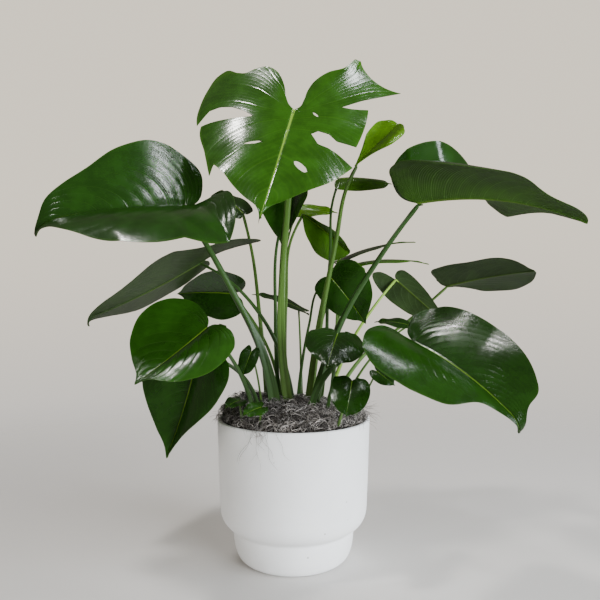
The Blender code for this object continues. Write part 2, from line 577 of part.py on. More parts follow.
def build():
    for obj in list(bpy.data.objects):
        bpy.data.objects.remove(obj)
    parts = new_collection("potted_monstera")
    cutters = new_collection("cutters")
    turned("pot", pot_profile(), "pot", parts)
    soil = as_mesh(turned("soil", soil_profile(), "soil", parts))
    moss = build_moss(parts)
    for name, given in LEAVES.items():
        leaf = {**USUAL, **given}
        build_blade(name + "_blade", leaf, parts)
        points, radii = petiole_route(leaf)
        tube(name + "_petiole", points, radii, "petiole", parts)
        below = points[0] - (points[1] - points[0]) * 0.02
        hole = tube(name + "_hole", [below, *points[1:]], radii + HOLE_GAP, "soil", cutters)
        hole.hide_render = True
        hole.display_type = "WIRE"
    cut(soil, cutters)
    cut(moss, cutters)


build()
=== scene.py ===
"""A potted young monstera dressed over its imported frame: leaf blades with sunk midribs and quilted
veins, grooved petioles, a matt ceramic pot, soil, and a mat of curly dried moss.

Metres, +Z up. The origin is the centre of the pot's base, and -Y is the front.
"""

import math

import bpy
import numpy as np
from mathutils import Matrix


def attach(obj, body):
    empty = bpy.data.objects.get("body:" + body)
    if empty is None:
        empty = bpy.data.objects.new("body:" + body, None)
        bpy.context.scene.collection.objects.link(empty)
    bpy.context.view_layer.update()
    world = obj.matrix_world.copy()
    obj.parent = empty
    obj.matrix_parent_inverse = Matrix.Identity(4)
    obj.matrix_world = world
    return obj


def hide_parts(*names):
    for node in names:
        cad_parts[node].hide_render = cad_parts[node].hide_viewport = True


bl_info = {
    "name": "Potted Monstera",
    "version": (1, 0, 0),
    "blender": (4, 5, 0),
    "location": "View3D > Sidebar > Monstera",
    "description": "Builds a young split-leaf house plant in a white ceramic pot",
    "category": "Add Mesh",
}

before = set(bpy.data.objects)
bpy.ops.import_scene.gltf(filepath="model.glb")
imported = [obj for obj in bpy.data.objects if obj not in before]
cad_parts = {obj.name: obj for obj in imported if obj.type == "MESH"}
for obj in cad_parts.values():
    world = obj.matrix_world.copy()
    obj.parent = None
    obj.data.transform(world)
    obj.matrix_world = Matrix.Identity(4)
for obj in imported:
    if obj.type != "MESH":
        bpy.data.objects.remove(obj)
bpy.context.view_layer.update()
MM = 0.001

# The first share of a half's lines, which all start at the joint and fan out behind it.
FAN = 0.30

# One half of a heart shape, x in leaf lengths from the joint, y in half widths from the midrib.
# A sinus runs from the joint to where a margin begins, and the margin runs on to the tip.
SINUS = [(0, 0), (-0.05, 0.03), (-0.14, 0.12), (-0.20, 0.30)]
YOUNG_SINUS = [(0, 0), (-0.005, 0.02), (-0.01, 0.04)]
MARGINS = {
    "broad": [(-0.20, 0.30), (-0.22, 0.60), (-0.08, 0.87), (0.14, 1.00), (0.38, 0.99),
              (0.62, 0.80), (0.81, 0.43), (0.92, 0.12), (0.97, 0.04), (1.0, 0.0)],
    "acute": [(-0.20, 0.30), (-0.22, 0.60), (-0.08, 0.87), (0.12, 1.00), (0.34, 0.90),
              (0.58, 0.62), (0.78, 0.32), (0.91, 0.09), (1.0, 0.0)],
    "blunt": [(-0.20, 0.30), (-0.22, 0.60), (-0.08, 0.87), (0.14, 1.00), (0.40, 1.00),
              (0.64, 0.88), (0.82, 0.62), (0.92, 0.32), (0.96, 0.08), (1.0, 0.0)],
    "straight": [(-0.20, 0.30), (-0.22, 0.60), (-0.08, 0.84), (0.12, 0.97), (0.32, 0.87),
                 (0.58, 0.56), (0.82, 0.30), (0.94, 0.06), (1.0, 0.0)],
    "shouldered": [(-0.20, 0.30), (-0.22, 0.60), (-0.08, 0.87), (0.14, 1.00), (0.40, 1.00),
                   (0.64, 0.89), (0.82, 0.65), (0.91, 0.18), (0.96, 0.09), (1.0, 0.0)],
    "drawn": [(-0.20, 0.30), (-0.22, 0.60), (-0.08, 0.87), (0.12, 1.00), (0.34, 0.91),
              (0.58, 0.69), (0.78, 0.18), (0.91, 0.06), (1.0, 0.0)],
    "late": [(-0.20, 0.30), (-0.22, 0.60), (-0.08, 0.75), (0.12, 0.92), (0.34, 1.02),
             (0.58, 0.70), (0.78, 0.40), (0.91, 0.12), (1.0, 0.0)],
    "flared": [(-0.20, 0.30), (-0.22, 0.60), (-0.08, 0.87), (0.12, 1.05), (0.34, 0.95),
               (0.58, 0.57), (0.78, 0.24), (0.91, 0.18), (1.0, 0.0)],
    "parallel": [(-0.20, 0.30), (-0.22, 0.60), (-0.08, 0.93), (0.14, 0.94), (0.38, 0.87),
                 (0.62, 0.88), (0.81, 0.59), (0.92, 0.30), (0.97, 0.08), (1.0, 0.0)],
    "young": [(-0.01, 0.04), (0.12, 0.35), (0.36, 0.78), (0.60, 1.00), (0.82, 0.88),
              (0.95, 0.45), (1.0, 0.0)],
    "wedge": [(-0.01, 0.04), (0.12, 0.25), (0.36, 0.88), (0.60, 1.04), (0.82, 0.77),
              (0.95, 0.35), (1.0, 0.0)],
    "spoon": [(-0.01, 0.04), (0.12, 0.08), (0.36, 0.45), (0.60, 1.00), (0.82, 1.10),
              (0.95, 0.75), (1.0, 0.0)],
}

# The split leaf: each half is a sinus, the margin points of its fingers, and the lines between
# the fingers, all in leaf lengths. A line's knot is (u, x, y), or (u, x, y, x, y) where it opens.
SPLIT_LEFT = dict(
    sinus=[(0, 0), (-0.035, 0.034), (-0.10, 0.046), (-0.20, 0.052), (-0.30, 0.075)],
    fingers=[[(-0.41, 0.155), (-0.49, 0.27), (-0.60, 0.325), (-0.655, 0.36), (-0.59, 0.375),
              (-0.475, 0.47), (-0.415, 0.59)],
             [(0.01, 0.515)],
             [(0.46, 0.45), (0.57, 0.37), (0.67, 0.26), (0.78, 0.13), (0.86, 0.03)]],
    lines=[[(0, 0.05, 0), (0.4, -0.11, 0.32), (0.6, -0.22, 0.45, -0.115, 0.39),
            (0.8, -0.31, 0.58, -0.13, 0.45), (1, -0.404, 0.714, -0.15, 0.51)],
           [(0, 0.20, 0), (0.34, 0.19, 0.165), (0.5, 0.15, 0.207, 0.265, 0.23),
            (0.65, 0.155, 0.285, 0.277, 0.304), (0.8, 0.20, 0.35, 0.31, 0.38),
            (1, 0.202, 0.49, 0.385, 0.499)]])
SPLIT_RIGHT = dict(
    sinus=[(0, 0), (-0.035, 0.045), (-0.09, 0.077), (-0.20, 0.119), (-0.28, 0.165)],
    fingers=[[(-0.335, 0.215), (-0.374, 0.29), (-0.355, 0.38), (-0.32, 0.45), (-0.335, 0.52),
              (-0.385, 0.64), (-0.34, 0.71), (-0.197, 0.748), (-0.022, 0.746), (0.13, 0.72)],
             [(0.235, 0.649), (0.456, 0.545), (0.65, 0.445), (0.676, 0.431), (0.645, 0.428)],
             [(0.65, 0.335), (0.733, 0.25), (0.816, 0.14), (0.88, 0.045)]],
    lines=[[(0, 0.05, 0), (0.38, 0.123, 0.267), (0.55, 0.077, 0.345, 0.145, 0.36),
            (0.7, 0.04, 0.45, 0.16, 0.45), (0.82, 0.033, 0.55, 0.175, 0.54),
            (0.92, 0.06, 0.635, 0.19, 0.60), (1, 0.19, 0.695, 0.208, 0.65)],
           [(0, 0.20, 0), (1, 0.577, 0.432)]])

# What a leaf has where its entry says nothing else. Angles in degrees, pairs are (left, right)
# as seen from above with the tip pointing away: fold lifts a half from the midrib, curl bends it
# back down to its margin, arch bends the midrib, lobes bends it behind the joint, and hook bends
# the tip from hook_from on. A list of (x, degrees) changes a fold or curl along the blade. halves
# scales a half's width, back its length behind the joint, and green names the blade's colour.
USUAL = dict(face=(0, -0.5, 0.8), margin="broad", halves=(1, 1), fold=(15, 15), curl=(30, 30),
             arch=25, lobes=30, back=(1, 1), hook=0, hook_from=0.8, green="leaf")

# What the finished leaves have beyond their shape: veins in a half, how far the veins sweep to the
# tip, how much of the quilting rises between them, height in millimetres and number of the waves
# of the margin, the petiole's green and the share of its sheath, and holes as ellipses (x, y, half
# length, half width, turn) in leaf lengths and degrees.
FINISH = dict(veins=12, sweep=0.2, quilt=0.3, wave=1.2, waves=3, stalk="green", sheath=1,
              holes=())
FINISHES = {
    "split_leaf": dict(veins=7, sweep=0.06, quilt=0.2, wave=2.4, green="bright", sheath=1.5,
                       holes=((0.49, 0.158, 0.065, 0.024, 54), (0.011, 0.157, 0.028, 0.010, 55),
                              (0.359, -0.20, 0.067, 0.013, 107))),
    "left_large_leaf": dict(veins=15, sweep=0.24, quilt=0.42, stalk="dull", sheath=2.6),
    "left_long_leaf": dict(veins=16, sweep=0.28, stalk="dull", sheath=1.5),
    "right_large_leaf": dict(veins=18, sweep=0.16, quilt=0.2, stalk="deep", sheath=1.8),
    "lower_right_large_leaf": dict(veins=20, sweep=0.30, quilt=0.35, wave=1.6, waves=4,
                                   stalk="deep", sheath=1.6),
    "lower_left_round_leaf": dict(veins=11, sweep=0.24, quilt=0.8, stalk="dull"),
    "lower_left_hanging_leaf": dict(green="dark", stalk="dull"),
    "right_oval_leaf": dict(veins=14, sweep=0.34),
    "young_leaf": dict(veins=7, sweep=0.34, wave=0.6, quilt=0.2, sheath=1.8),
    "right_underside_leaf": dict(stalk="light"),
    # This paler green of the thin leaves is partly their own colour and partly painted light shining
    # through them.
    "right_rolled_leaf": dict(green="fresh", stalk="dull"),
    "shaded_top_leaf": dict(green="leaf", stalk="dull"),
    "bright_folded_leaf": dict(green="fresh"),
    "pale_right_leaf": dict(green="fresh"),
    "short_green_leaf": dict(green="fresh"),
    "centre_heart_leaf": dict(stalk="dull", quilt=0.2),
    "front_round_leaf": dict(quilt=0.2),
    "front_heart_leaf": dict(quilt=0.2, stalk="dull"),
}

# The leaves, in millimetres: joint is where the petiole meets the blade, tip the blade's end, face
# the way its upper side looks, foot the petiole's place in the soil, route the points that it
# passes, and radii those at its foot and top.
LEAVES = {
    "split_leaf": dict(
        joint=(1, 0, 652), tip=(-45, -100, 478), face=(0, -1, 0.3), width=280,
        split=(SPLIT_LEFT, SPLIT_RIGHT), fold=(3, 3), curl=(12, 34), arch=0, lobes=0,
        foot=(8, 0), route=[(-17, 0, 304), (-16, 10, 419), (-7, 30, 540)], radii=(6, 4.5)),
    "left_large_leaf": dict(
        joint=(-156, -20, 506), tip=(-332, -110, 460), face=(-0.05, -0.64, 0.75), width=252,
        halves=(1.25, 0.92), margin=("broad", "straight"),
        fold=([(-0.35, 110), (0, 42), (0.3, 37), (0.6, 37), (1, 25)], 32),
        curl=([(-0.35, 149), (0, 67), (0.3, 44), (0.6, 59), (1, 71)], 0), arch=22, lobes=-37,
        hook=68, hook_from=0.75, back=(0.7, 0.87),
        foot=(-25, -12), route=[(-49, -20, 311), (-88, -30, 392), (-125, -30, 458)],
        radii=(7, 3.2), green="dark"),
    "left_long_leaf": dict(
        joint=(-146, 60, 432), tip=(-287, -40, 339), face=(-0.19, 0.58, 0.82), width=158,
        halves=(1.11, 1.2), margin="late", fold=([(-0.4, -25), (0, -19), (0.3, -7)], 17),
        curl=(6, -4), arch=-12, lobes=70, hook=100, hook_from=0.85, back=(2, 0.6),
        foot=(-2, 18), route=[(-32, 22, 323), (-79, 30, 387)], radii=(4, 2), green="under"),
    "left_rolled_leaf": dict(
        joint=(-104, 122, 383), tip=(-200, 152, 382), face=(0, -0.95, 0.3), width=90,
        margin="acute", fold=(0, 60), curl=(15, 15),
        foot=(-18, 30), route=[(-58, 118, 322)], radii=(3.5, 2), green="dark"),
    "lower_left_round_leaf": dict(
        joint=(-108, -130, 344), tip=(-186, -184, 281), face=(-0.4, -0.6, 0.75), width=142,
        halves=(0.8, 1.2), fold=(10, 9), curl=(60, -20), arch=-5, lobes=50, back=(0.54, 0.71),
        foot=(-40, -56), route=[(-83, -92, 304)], radii=(3.5, 2.2)),
    "lower_left_hanging_leaf": dict(
        joint=(-128, -75, 305), tip=(-168, -93, 168), face=(-0.4, -0.65, 0.5), width=138,
        margin="acute", halves=(1.05, 1.2), fold=(35, 42), curl=(59, 43), arch=-15, lobes=15,
        back=(0.4, 0.8),
        foot=(-50, -30), route=[(-88, -60, 288)], radii=(3.5, 2.2)),
    "right_large_leaf": dict(
        joint=(179, -10, 515), tip=(396, -74, 481), face=(-0.02, -0.05, 1.0), width=212,
        halves=(0.79, 1.15), margin=("acute", "flared"),
        fold=([(0, 105), (0.15, 85), (0.3, 35), (0.42, -5), (0.55, -22), (0.8, -10)],
              [(0, 61), (1, 33)]),
        curl=(-7, 72), arch=35, lobes=-31, back=(0.62, 0.56),
        foot=(24, -8), route=[(67, -10, 339), (125, -10, 438)], radii=(6, 3.2), green="dark"),
    "lower_right_large_leaf": dict(
        joint=(154, -130, 325), tip=(255, -223, 231), face=(0.19, -0.61, 0.73), width=176,
        halves=(0.8, 1.2), margin=("shouldered", "drawn"),
        fold=([(-0.3, 16), (0.4, 20), (1, 34)], [(-0.3, 55), (0.4, 30), (1, 18)]),
        curl=(-25, 55), arch=30, lobes=-30, hook=71, back=(0.79, 0.6),
        foot=(14, -40), route=[(58, -40, 284), (107, -82, 314)], radii=(5, 2.6), green="dark"),
    "right_oval_leaf": dict(
        joint=(246, 100, 395), tip=(348, -14, 418), face=(0, 0.75, 0.67), width=91,
        halves=(0.94, 0.93), margin=("wedge", "parallel"), fold=(18, 24), arch=11, lobes=-30,
        back=(0.1, 0.3),
        foot=(34, 14), route=[(104, 70, 280), (190, 118, 340)], radii=(4, 2), green="under"),
    "young_leaf": dict(
        joint=(94, 50, 580), tip=(161, 62, 646), face=(-0.42, -0.62, 0.6), width=58,
        margin="spoon", fold=(15, 15), curl=(0, 20), arch=5,
        foot=(20, 22), route=[(39, 20, 337), (64, 30, 465), (79, 40, 541)], radii=(6, 2.5),
        green="young"),
    "right_rolled_leaf": dict(
        joint=(72, 80, 565), tip=(153, 70, 555), face=(0, -0.6, 0.8), width=52,
        margin="blunt", fold=(-15, -5), back=(0.4, 0.4),
        foot=(30, 34), route=[(50, 58, 300), (54, 78, 400), (57, 64, 450), (59, 66, 520)],
        radii=(3.5, 1.8)),
    "shaded_top_leaf": dict(
        joint=(-6, 60, 533), tip=(-19, 45, 458), face=(-0.1, -0.9, 0.3), width=90,
        margin="acute", fold=(60, 20),
        foot=(-14, 12), route=[(-28, 42, 354), (-25, 58, 466)], radii=(3.5, 2), green="dark"),
    "bright_folded_leaf": dict(
        joint=(14, 100, 511), tip=(88, 75, 447), face=(-0.3, -0.8, 0.5), width=72,
        margin="young", halves=(0.45, 1), fold=(85, -5),
        foot=(-6, 34), route=[(-12, 60, 374), (-3, 98, 475)], radii=(3.5, 2)),
    "centre_heart_leaf": dict(
        joint=(58, 58, 408), tip=(109, 28, 338), face=(0.1, -0.9, 0.3), width=92,
        halves=(1, 0.75), fold=(35, 0), back=(0.5, 0.5),
        foot=(4, 38), route=[(24, 68, 336), (38, 72, 390)], radii=(3, 1.6), green="dark"),
    "right_underside_leaf": dict(
        joint=(165, 100, 405), tip=(246, 60, 327), face=(-0.1, 0.9, 0.3), width=90,
        margin="acute", halves=(0.75, 0.5), fold=(-5, 30), back=(1.3, 0.3),
        foot=(40, 38), route=[(87, 60, 304), (128, 80, 364)], radii=(3.5, 1.8), green="under"),
    "thin_right_leaf": dict(
        joint=(80, 125, 441), tip=(205, 150, 470), face=(-0.2, -0.05, 1), width=56,
        margin="acute", fold=(5, 5), back=(0.5, 0.5),
        foot=(16, 48), route=[(46, 105, 341)], radii=(3, 1.5), green="dark"),
    "pale_right_leaf": dict(
        joint=(105, 140, 433), tip=(230, 160, 433), face=(0, -0.1, 1), width=46, fold=(5, 5),
        foot=(32, 52), route=[(71, 104, 340)], radii=(3, 1.5)),
    "front_heart_leaf": dict(
        joint=(60, -80, 333), tip=(43, -130, 292), face=(0, -0.8, 0.6), width=80, fold=(5, 5),
        back=(0.55, 0.55),
        foot=(30, -32), route=[(58, -50, 286)], radii=(3, 1.8), green="dark"),
    "front_round_leaf": dict(
        joint=(77, -110, 274), tip=(67, -140, 233), face=(0, -0.9, 0.4), width=50,
        margin="blunt", back=(0.35, 0.35),
        foot=(46, -52), route=[], radii=(2.5, 1.5), green="dark"),
    "small_right_leaf": dict(
        joint=(116, -50, 278), tip=(140, -60, 259), face=(0, -0.9, 0.4), width=26,
        foot=(58, -26), route=[], radii=(2, 1.2), green="dark"),
    "small_left_leaf": dict(
        joint=(-58, -50, 305), tip=(-69, -65, 274), face=(0, -0.9, 0.4), width=26,
        margin="blunt", foot=(-50, -14), route=[(-50, -40, 268)], radii=(2, 1.2), green="dark"),
    "low_green_leaf": dict(
        joint=(-42, -87, 235), tip=(-66, -107, 227), face=(0, -0.7, 0.7), width=24,
        foot=(-50, -66), route=[], radii=(1.8, 1.2)),
    "low_brown_leaf": dict(
        joint=(-72, -70, 241), tip=(-89, -100, 236), face=(0, -0.6, 0.8), width=24,
        foot=(-66, -48), route=[], radii=(1.8, 1.2), green="dark"),
    "thin_back_leaf": dict(
        joint=(8, 130, 359), tip=(-70, 120, 382), face=(0, -0.35, 1), width=34,
        foot=(12, 64), route=[(10, 100, 300)], radii=(2.5, 1.4), green="dark"),
    "dark_edge_leaf": dict(
        joint=(175, 50, 336), tip=(126, 70, 339), face=(0, -0.35, 1), width=34,
        foot=(58, 8), route=[(132, 40, 301)], radii=(2.5, 1.4), green="dark"),
    "back_left_leaf": dict(
        joint=(-82, 92, 512), tip=(-133, 162, 554), face=(-0.3, -0.4, 0.9), width=40,
        margin="acute", back=(0.4, 0.4),
        foot=(-34, 8), route=[(-53, 50, 354), (-68, 90, 453)], radii=(4, 2.2), green="dark"),
    "yellow_leaf": dict(
        joint=(3, 126, 518), tip=(71, 106, 514), face=(0, -0.8, 0.6), width=28,
        back=(0.4, 0.4),
        foot=(-2, 60), route=[(-19, 84, 342), (-14, 108, 453)], radii=(2.8, 1.4), green="young"),
    "short_green_leaf": dict(
        joint=(69, 85, 431), tip=(114, 60, 411), face=(0, -0.5, 0.9), width=42, fold=(15, 40),
        back=(0.4, 0.4),
        foot=(46, 48), route=[(69, 92, 357)], radii=(3, 1.5)),
}

LARGE = [name for name, leaf in LEAVES.items() if leaf["width"] > 100 and "split" not in leaf]
SMALL = [name for name, leaf in LEAVES.items() if leaf["width"] <= 100]

# How many cells a half of a blade has across and along.
SPLIT_GRID = (44, 72)
LARGE_GRID = (36, 110)
SMALL_GRID = (20, 56)

# The height of the petioles' feet.
FOOT_HEIGHT = 0.150

# The radius of the moss mat, the height of its underside, and the radius just outside the pot's
# rim that low loose strands are moved out to.
MAT_RADIUS = 0.1035
MAT_UNDERSIDE = 0.1755
HANG_RADIUS = 0.1127

# The pits in the glaze: each one's place and radius.
PITS = (((0.042, -0.096, 0.068), 0.0022), ((0.020, -0.085, 0.031), 0.0018),
        ((0.072, -0.080, 0.105), 0.0015), ((-0.060, 0.092, 0.150), 0.0018),
        ((-0.098, 0.045, 0.115), 0.0016))

# The camera: its place, tilt from straight down and angle of view.
CAMERA_PLACE = (0.0095, -0.94, 0.40)
CAMERA_TILT = math.radians(88.5)
CAMERA_VIEW = math.radians(50)

# The lights: name, place, target, size, share of the window power, colour, and whether the light
# shows in glossy surfaces.
LIGHTS = (
    ("left window", (-0.68, -0.38, 2.07), (0, -0.05, 0.4), (0.17, 0.17), 0.9,
     (1.0, 0.98, 0.95), True),
    ("right window", (0.36, -0.19, 1.32), (-0.2, -0.05, 0.5), (0.09, 0.09), 0.07,
     (0.94, 0.97, 1.0), True),
    ("low right window", (1.75, -0.70, 0.95), (0, 0, 0.35), (0.6, 0.6), 1.1,
     (0.88, 0.94, 1.0), True),
    ("front right", (1.85, -1.8, 0.55), (0, 0, 0.15), (1.7, 1.0), 6.8, (0.93, 0.97, 1.0), False),
    ("front left", (-1.6, -2.0, 0.55), (0, 0, 0.25), (1.7, 1.0), 1.3, (1.0, 0.95, 0.87), False),
    ("back fill", (0.5, 2.6, 1.3), (0, 0, 0.35), (2.0, 1.4), 3.2, (1.0, 0.98, 0.95), False),
)


# Leaf shapes

def smooth(points, fractions):
    """Points of a smooth curve through the given points, at fractions of its chord length:
    a cubic between neighbours whose slopes are the weighted means of the chords beside them."""
    pts = np.asarray(points, float)
    steps = np.linalg.norm(np.diff(pts, axis=0), axis=1)
    knots = np.concatenate([[0], np.cumsum(steps)]) / steps.sum()
    gaps = np.diff(knots)[:, None]
    chords = np.diff(pts, axis=0) / gaps
    if len(pts) == 2:
        slopes = np.vstack([chords, chords])
    else:
        inner = (gaps[1:] * chords[:-1] + gaps[:-1] * chords[1:]) / (gaps[:-1] + gaps[1:])
        slopes = np.vstack([2 * chords[:1] - inner[:1], inner, 2 * chords[-1:] - inner[-1:]])
    t = np.clip(np.asarray(fractions, float), 0, 1)
    i = np.clip(np.searchsorted(knots, t, side="right") - 1, 0, len(pts) - 2)
    h = (knots[i + 1] - knots[i])[:, None]
    s = (t - knots[i])[:, None] / h
    return ((2 * s**3 - 3 * s**2 + 1) * pts[i] + (s**3 - 2 * s**2 + s) * h * slopes[i]
            + (3 * s**2 - 2 * s**3) * pts[i + 1] + (s**3 - s**2) * h * slopes[i + 1])


def fill_between(root, outer, first, last, u, t):
    """A flat grid filled between four edges: the blend of root and outer across, plus the blend
    of first and last along, less the blend of the four corners."""
    u = u[None, :, None]
    t = t[:, None, None]
    corners = ((1 - t) * (1 - u) * root[0] + (1 - t) * u * outer[0]
               + t * (1 - u) * root[-1] + t * u * outer[-1])
    return (root[:, None] * (1 - u) + outer[:, None] * u
            + (1 - t) * first[None] + t * last[None] - corners)


def relax(grid, rounds):
    """Moves the inner points of a flat grid until its lines no longer cross, with the steps of
    g_uu |g_t|^2 - 2 g_ut (g_u . g_t) + g_tt |g_u|^2 = 0, where g_u and g_t are the grid's slopes
    across and along."""
    g = grid.copy()
    for _ in range(rounds):
        du = (g[1:-1, 2:] - g[1:-1, :-2]) / 2
        dt = (g[2:, 1:-1] - g[:-2, 1:-1]) / 2
        a = (dt**2).sum(-1, keepdims=True) + 1e-12
        b = (du * dt).sum(-1, keepdims=True)
        c = (du**2).sum(-1, keepdims=True) + 1e-12
        cross = (g[2:, 2:] - g[:-2, 2:] - g[2:, :-2] + g[:-2, :-2]) / 4
        g[1:-1, 1:-1] = (a * (g[1:-1, 2:] + g[1:-1, :-2]) + c * (g[2:, 1:-1] + g[:-2, 1:-1])
                         - 2 * b * cross) / (2 * (a + c))
    return g


def split_line(knots, u, after):
    """The line between two fingers at u: its side before the opening, or the one after it."""
    rows = np.array([(k[0], *(k[3:] if after and len(k) == 5 else k[1:3])) for k in knots], float)
    at, x, y = rows.T
    return np.stack([np.interp(u, at, x), np.interp(u, at, y)], -1)


def half_grids(leaf, side, across, along):
    """A half's flat grids with their along and across values: rows run from the midrib (across 0)
    to the margin (across 1), and along goes from the sinus (0) to the tip (1). The powers set
    the lines closer near the midrib and further apart near the sinus. A split half has a grid for
    each finger, and starts are the along values where the fingers begin."""
    u = np.linspace(0, 1, across + 1) ** 1.25
    tip = np.tile([1.0, 0.0], (len(u), 1))
    if "split" not in leaf:
        shape = leaf["margin"] if isinstance(leaf["margin"], str) else leaf["margin"][side]
        t = np.linspace(0, 1, along + 1) ** 0.93
        midrib = np.clip((t - FAN) / (1 - FAN), 0, 1) ** 1.15
        root = np.stack([midrib, 0 * midrib], -1)
        first = smooth(SINUS if MARGINS[shape][0] == SINUS[-1] else YOUNG_SINUS, u)
        grid = fill_between(root, smooth(MARGINS[shape], t), first, tip, u, t)
        return [(grid, np.broadcast_to(t[:, None], grid.shape[:2]), u)]
    half = leaf["split"][side]
    lines = half["lines"]
    starts = [0.0, 0.36, 0.60, 1.0]
    grids = []
    for i, margin in enumerate(half["fingers"]):
        t = np.linspace(0, 1, (along if i == 0 else along // 2) + 1)
        first = smooth(half["sinus"], u) if i == 0 else split_line(lines[i - 1], u, True)
        last = tip if i == len(lines) else split_line(lines[i], u, False)
        outer = smooth([tuple(first[-1])] + margin + [tuple(last[-1])], t)
        way = np.clip(2 * t - 1, 0, 1) if i == 0 else t
        root = first[0] * (1 - way[:, None]) + last[0] * way[:, None]
        grid = relax(fill_between(root, outer, first, last, u, t), rounds=1200)
        whole = starts[i] + (starts[i + 1] - starts[i]) * t
        grids.append((grid, np.broadcast_to(whole[:, None], grid.shape[:2]), u))
    return grids


def grid_faces(rows, columns, first=0, flip=False, wrap=False):
    """Index quads of a rows by columns grid; wrap closes the columns into a ring."""
    index = np.arange(rows * columns).reshape(rows, columns) + first
    right = np.roll(index, -1, axis=1) if wrap else index[:, 1:]
    left = index if wrap else index[:, :-1]
    quads = np.stack([left[:-1], left[1:], right[1:], right[:-1]], -1).reshape(-1, 4)
    return quads[:, ::-1] if flip else quads


def flat_leaf(leaf, across, along):
    """The whole blade in its flat plane: welded points (x, signed y), their along and signed
    across values, and triangles."""
    points, longs, acrosses, quads, count = [], [], [], [], 0
    for side, sign in ((0, 1), (1, -1)):
        for grid, lengthwise, u in half_grids(leaf, side, across, along):
            rows, columns = grid.shape[:2]
            quads.append(grid_faces(rows, columns, count, flip=side == 1))
            points.append((grid * [1, sign]).reshape(-1, 2))
            longs.append(lengthwise.ravel())
            acrosses.append(np.tile(u * sign, rows))
            count += rows * columns
    points = np.vstack(points)
    _, keep, weld = np.unique(np.round(points * 1e5).astype(np.int64), axis=0,
                              return_index=True, return_inverse=True)
    quads = weld.ravel()[np.vstack(quads)]
    tris = np.vstack([quads[:, [0, 1, 2]], quads[:, [0, 2, 3]]])
    whole = (tris != np.roll(tris, 1, axis=1)).all(axis=1)
    return points[keep], np.concatenate(longs)[keep], np.concatenate(acrosses)[keep], tris[whole]


def pierce(points, tris, holes):
    """Takes out the triangles inside each hole, an ellipse (x, y, half length, half width, turn
    in degrees), and moves the points left on its rim onto the ellipse itself."""
    points = points.copy()
    for x, y, half_length, half_width, turn in holes:
        angle = math.radians(turn)
        axes = np.array([[math.cos(angle), math.sin(angle)], [-math.sin(angle), math.cos(angle)]])
        local = (points - [x, y]) @ axes.T / [half_length, half_width]
        inside = np.linalg.norm(local[tris].mean(axis=1), axis=1) < 1
        rim = np.intersect1d(tris[inside], tris[~inside])
        on_rim = local[rim] / np.linalg.norm(local[rim], axis=1, keepdims=True)
        points[rim] = (on_rim * [half_length, half_width]) @ axes + [x, y]
        tris = tris[~inside]
    return points, tris


def value(setting, x):
    """A setting at x: a plain number, or a list of (x, number) pairs read between."""
    if isinstance(setting, list):
        return np.interp(x, [p[0] for p in setting], [p[1] for p in setting])
    return setting


def bend(x, y, leaf, length, half_width, fold, curl):
    """Bends flat points (x forward, y out) and gives (forward, out, up) and the tip's place.

    The midrib turns by arch, lobes and hook along x; across it a half is a circular arc that
    leaves the midrib at the angle fold and turns by curl on its way to the margin."""
    a = np.linspace(-0.6, 1.1, 341)
    turn = -np.radians(np.where(a < 0, leaf["lobes"], leaf["arch"])) * a
    start = leaf["hook_from"]
    turn = turn - math.radians(leaf["hook"]) * np.clip((a - start) / (1 - start), 0, 1.5) ** 2
    step = a[1] - a[0]
    middle = (turn[1:] + turn[:-1]) / 2
    forward = np.concatenate([[0], np.cumsum(np.cos(middle) * step)])
    up = np.concatenate([[0], np.cumsum(np.sin(middle) * step)])
    forward -= np.interp(0, a, forward)
    up -= np.interp(0, a, up)
    xs = x / length
    half_turn = np.radians(value(curl, xs)) / half_width * y / 2
    chord = y * np.sinc(half_turn / np.pi)
    rise = np.radians(value(fold, xs)) - half_turn
    lift = chord * np.sin(rise)
    angle = np.interp(xs, a, turn)
    px = np.interp(xs, a, forward) * length - lift * np.sin(angle)
    pz = np.interp(xs, a, up) * length + lift * np.cos(angle)
    return px, chord * np.cos(rise), pz, np.interp(1.0, a, forward), np.interp(1.0, a, up)


def leaf_frame(leaf):
    """The joint, and the unit vectors forward to the tip, left, and up out of the upper side."""
    joint = np.array(leaf["joint"], float) * MM
    reach = np.array(leaf["tip"], float) * MM - joint
    forward = reach / np.linalg.norm(reach)
    face = np.array(leaf["face"], float)
    face -= face.dot(forward) * forward
    face /= np.linalg.norm(face)
    return joint, np.linalg.norm(reach), forward, np.cross(face, forward), face


def place(leaf, flat):
    """Flat points (x, signed y) bent and set in the room, the distance of each from the midrib
    and the length of the midrib, in metres. The probe at the tip says how far the bent midrib
    reaches, so that its tip lands on the leaf's."""
    joint, reach, forward, left, face = leaf_frame(leaf)
    zero = np.zeros(1)
    probe = bend(zero, zero, leaf, 1.0, 1.0, 0.0, 0.0)
    length = reach / math.hypot(probe[3], probe[4])
    angle = math.atan2(probe[4], probe[3])
    placed = np.zeros((len(flat), 3))
    out = np.zeros(len(flat))
    for side, sign in ((0, 1), (1, -1)):
        here = flat[:, 1] * sign >= 0
        half_width = leaf["width"] / 2 * MM * leaf["halves"][side]
        x = flat[here, 0] * length * np.where(flat[here, 0] < 0, leaf["back"][side], 1.0)
        y = flat[here, 1] * sign * (length if "split" in leaf else half_width)
        px, py, pz, _, _ = bend(x, y, leaf, length, half_width,
                                leaf["fold"][side], leaf["curl"][side])
        along = px * math.cos(angle) + pz * math.sin(angle)
        above = pz * math.cos(angle) - px * math.sin(angle)
        placed[here] = (joint + along[:, None] * forward + sign * py[:, None] * left
                        + above[:, None] * face)
        out[here] = y
    return placed, out, length


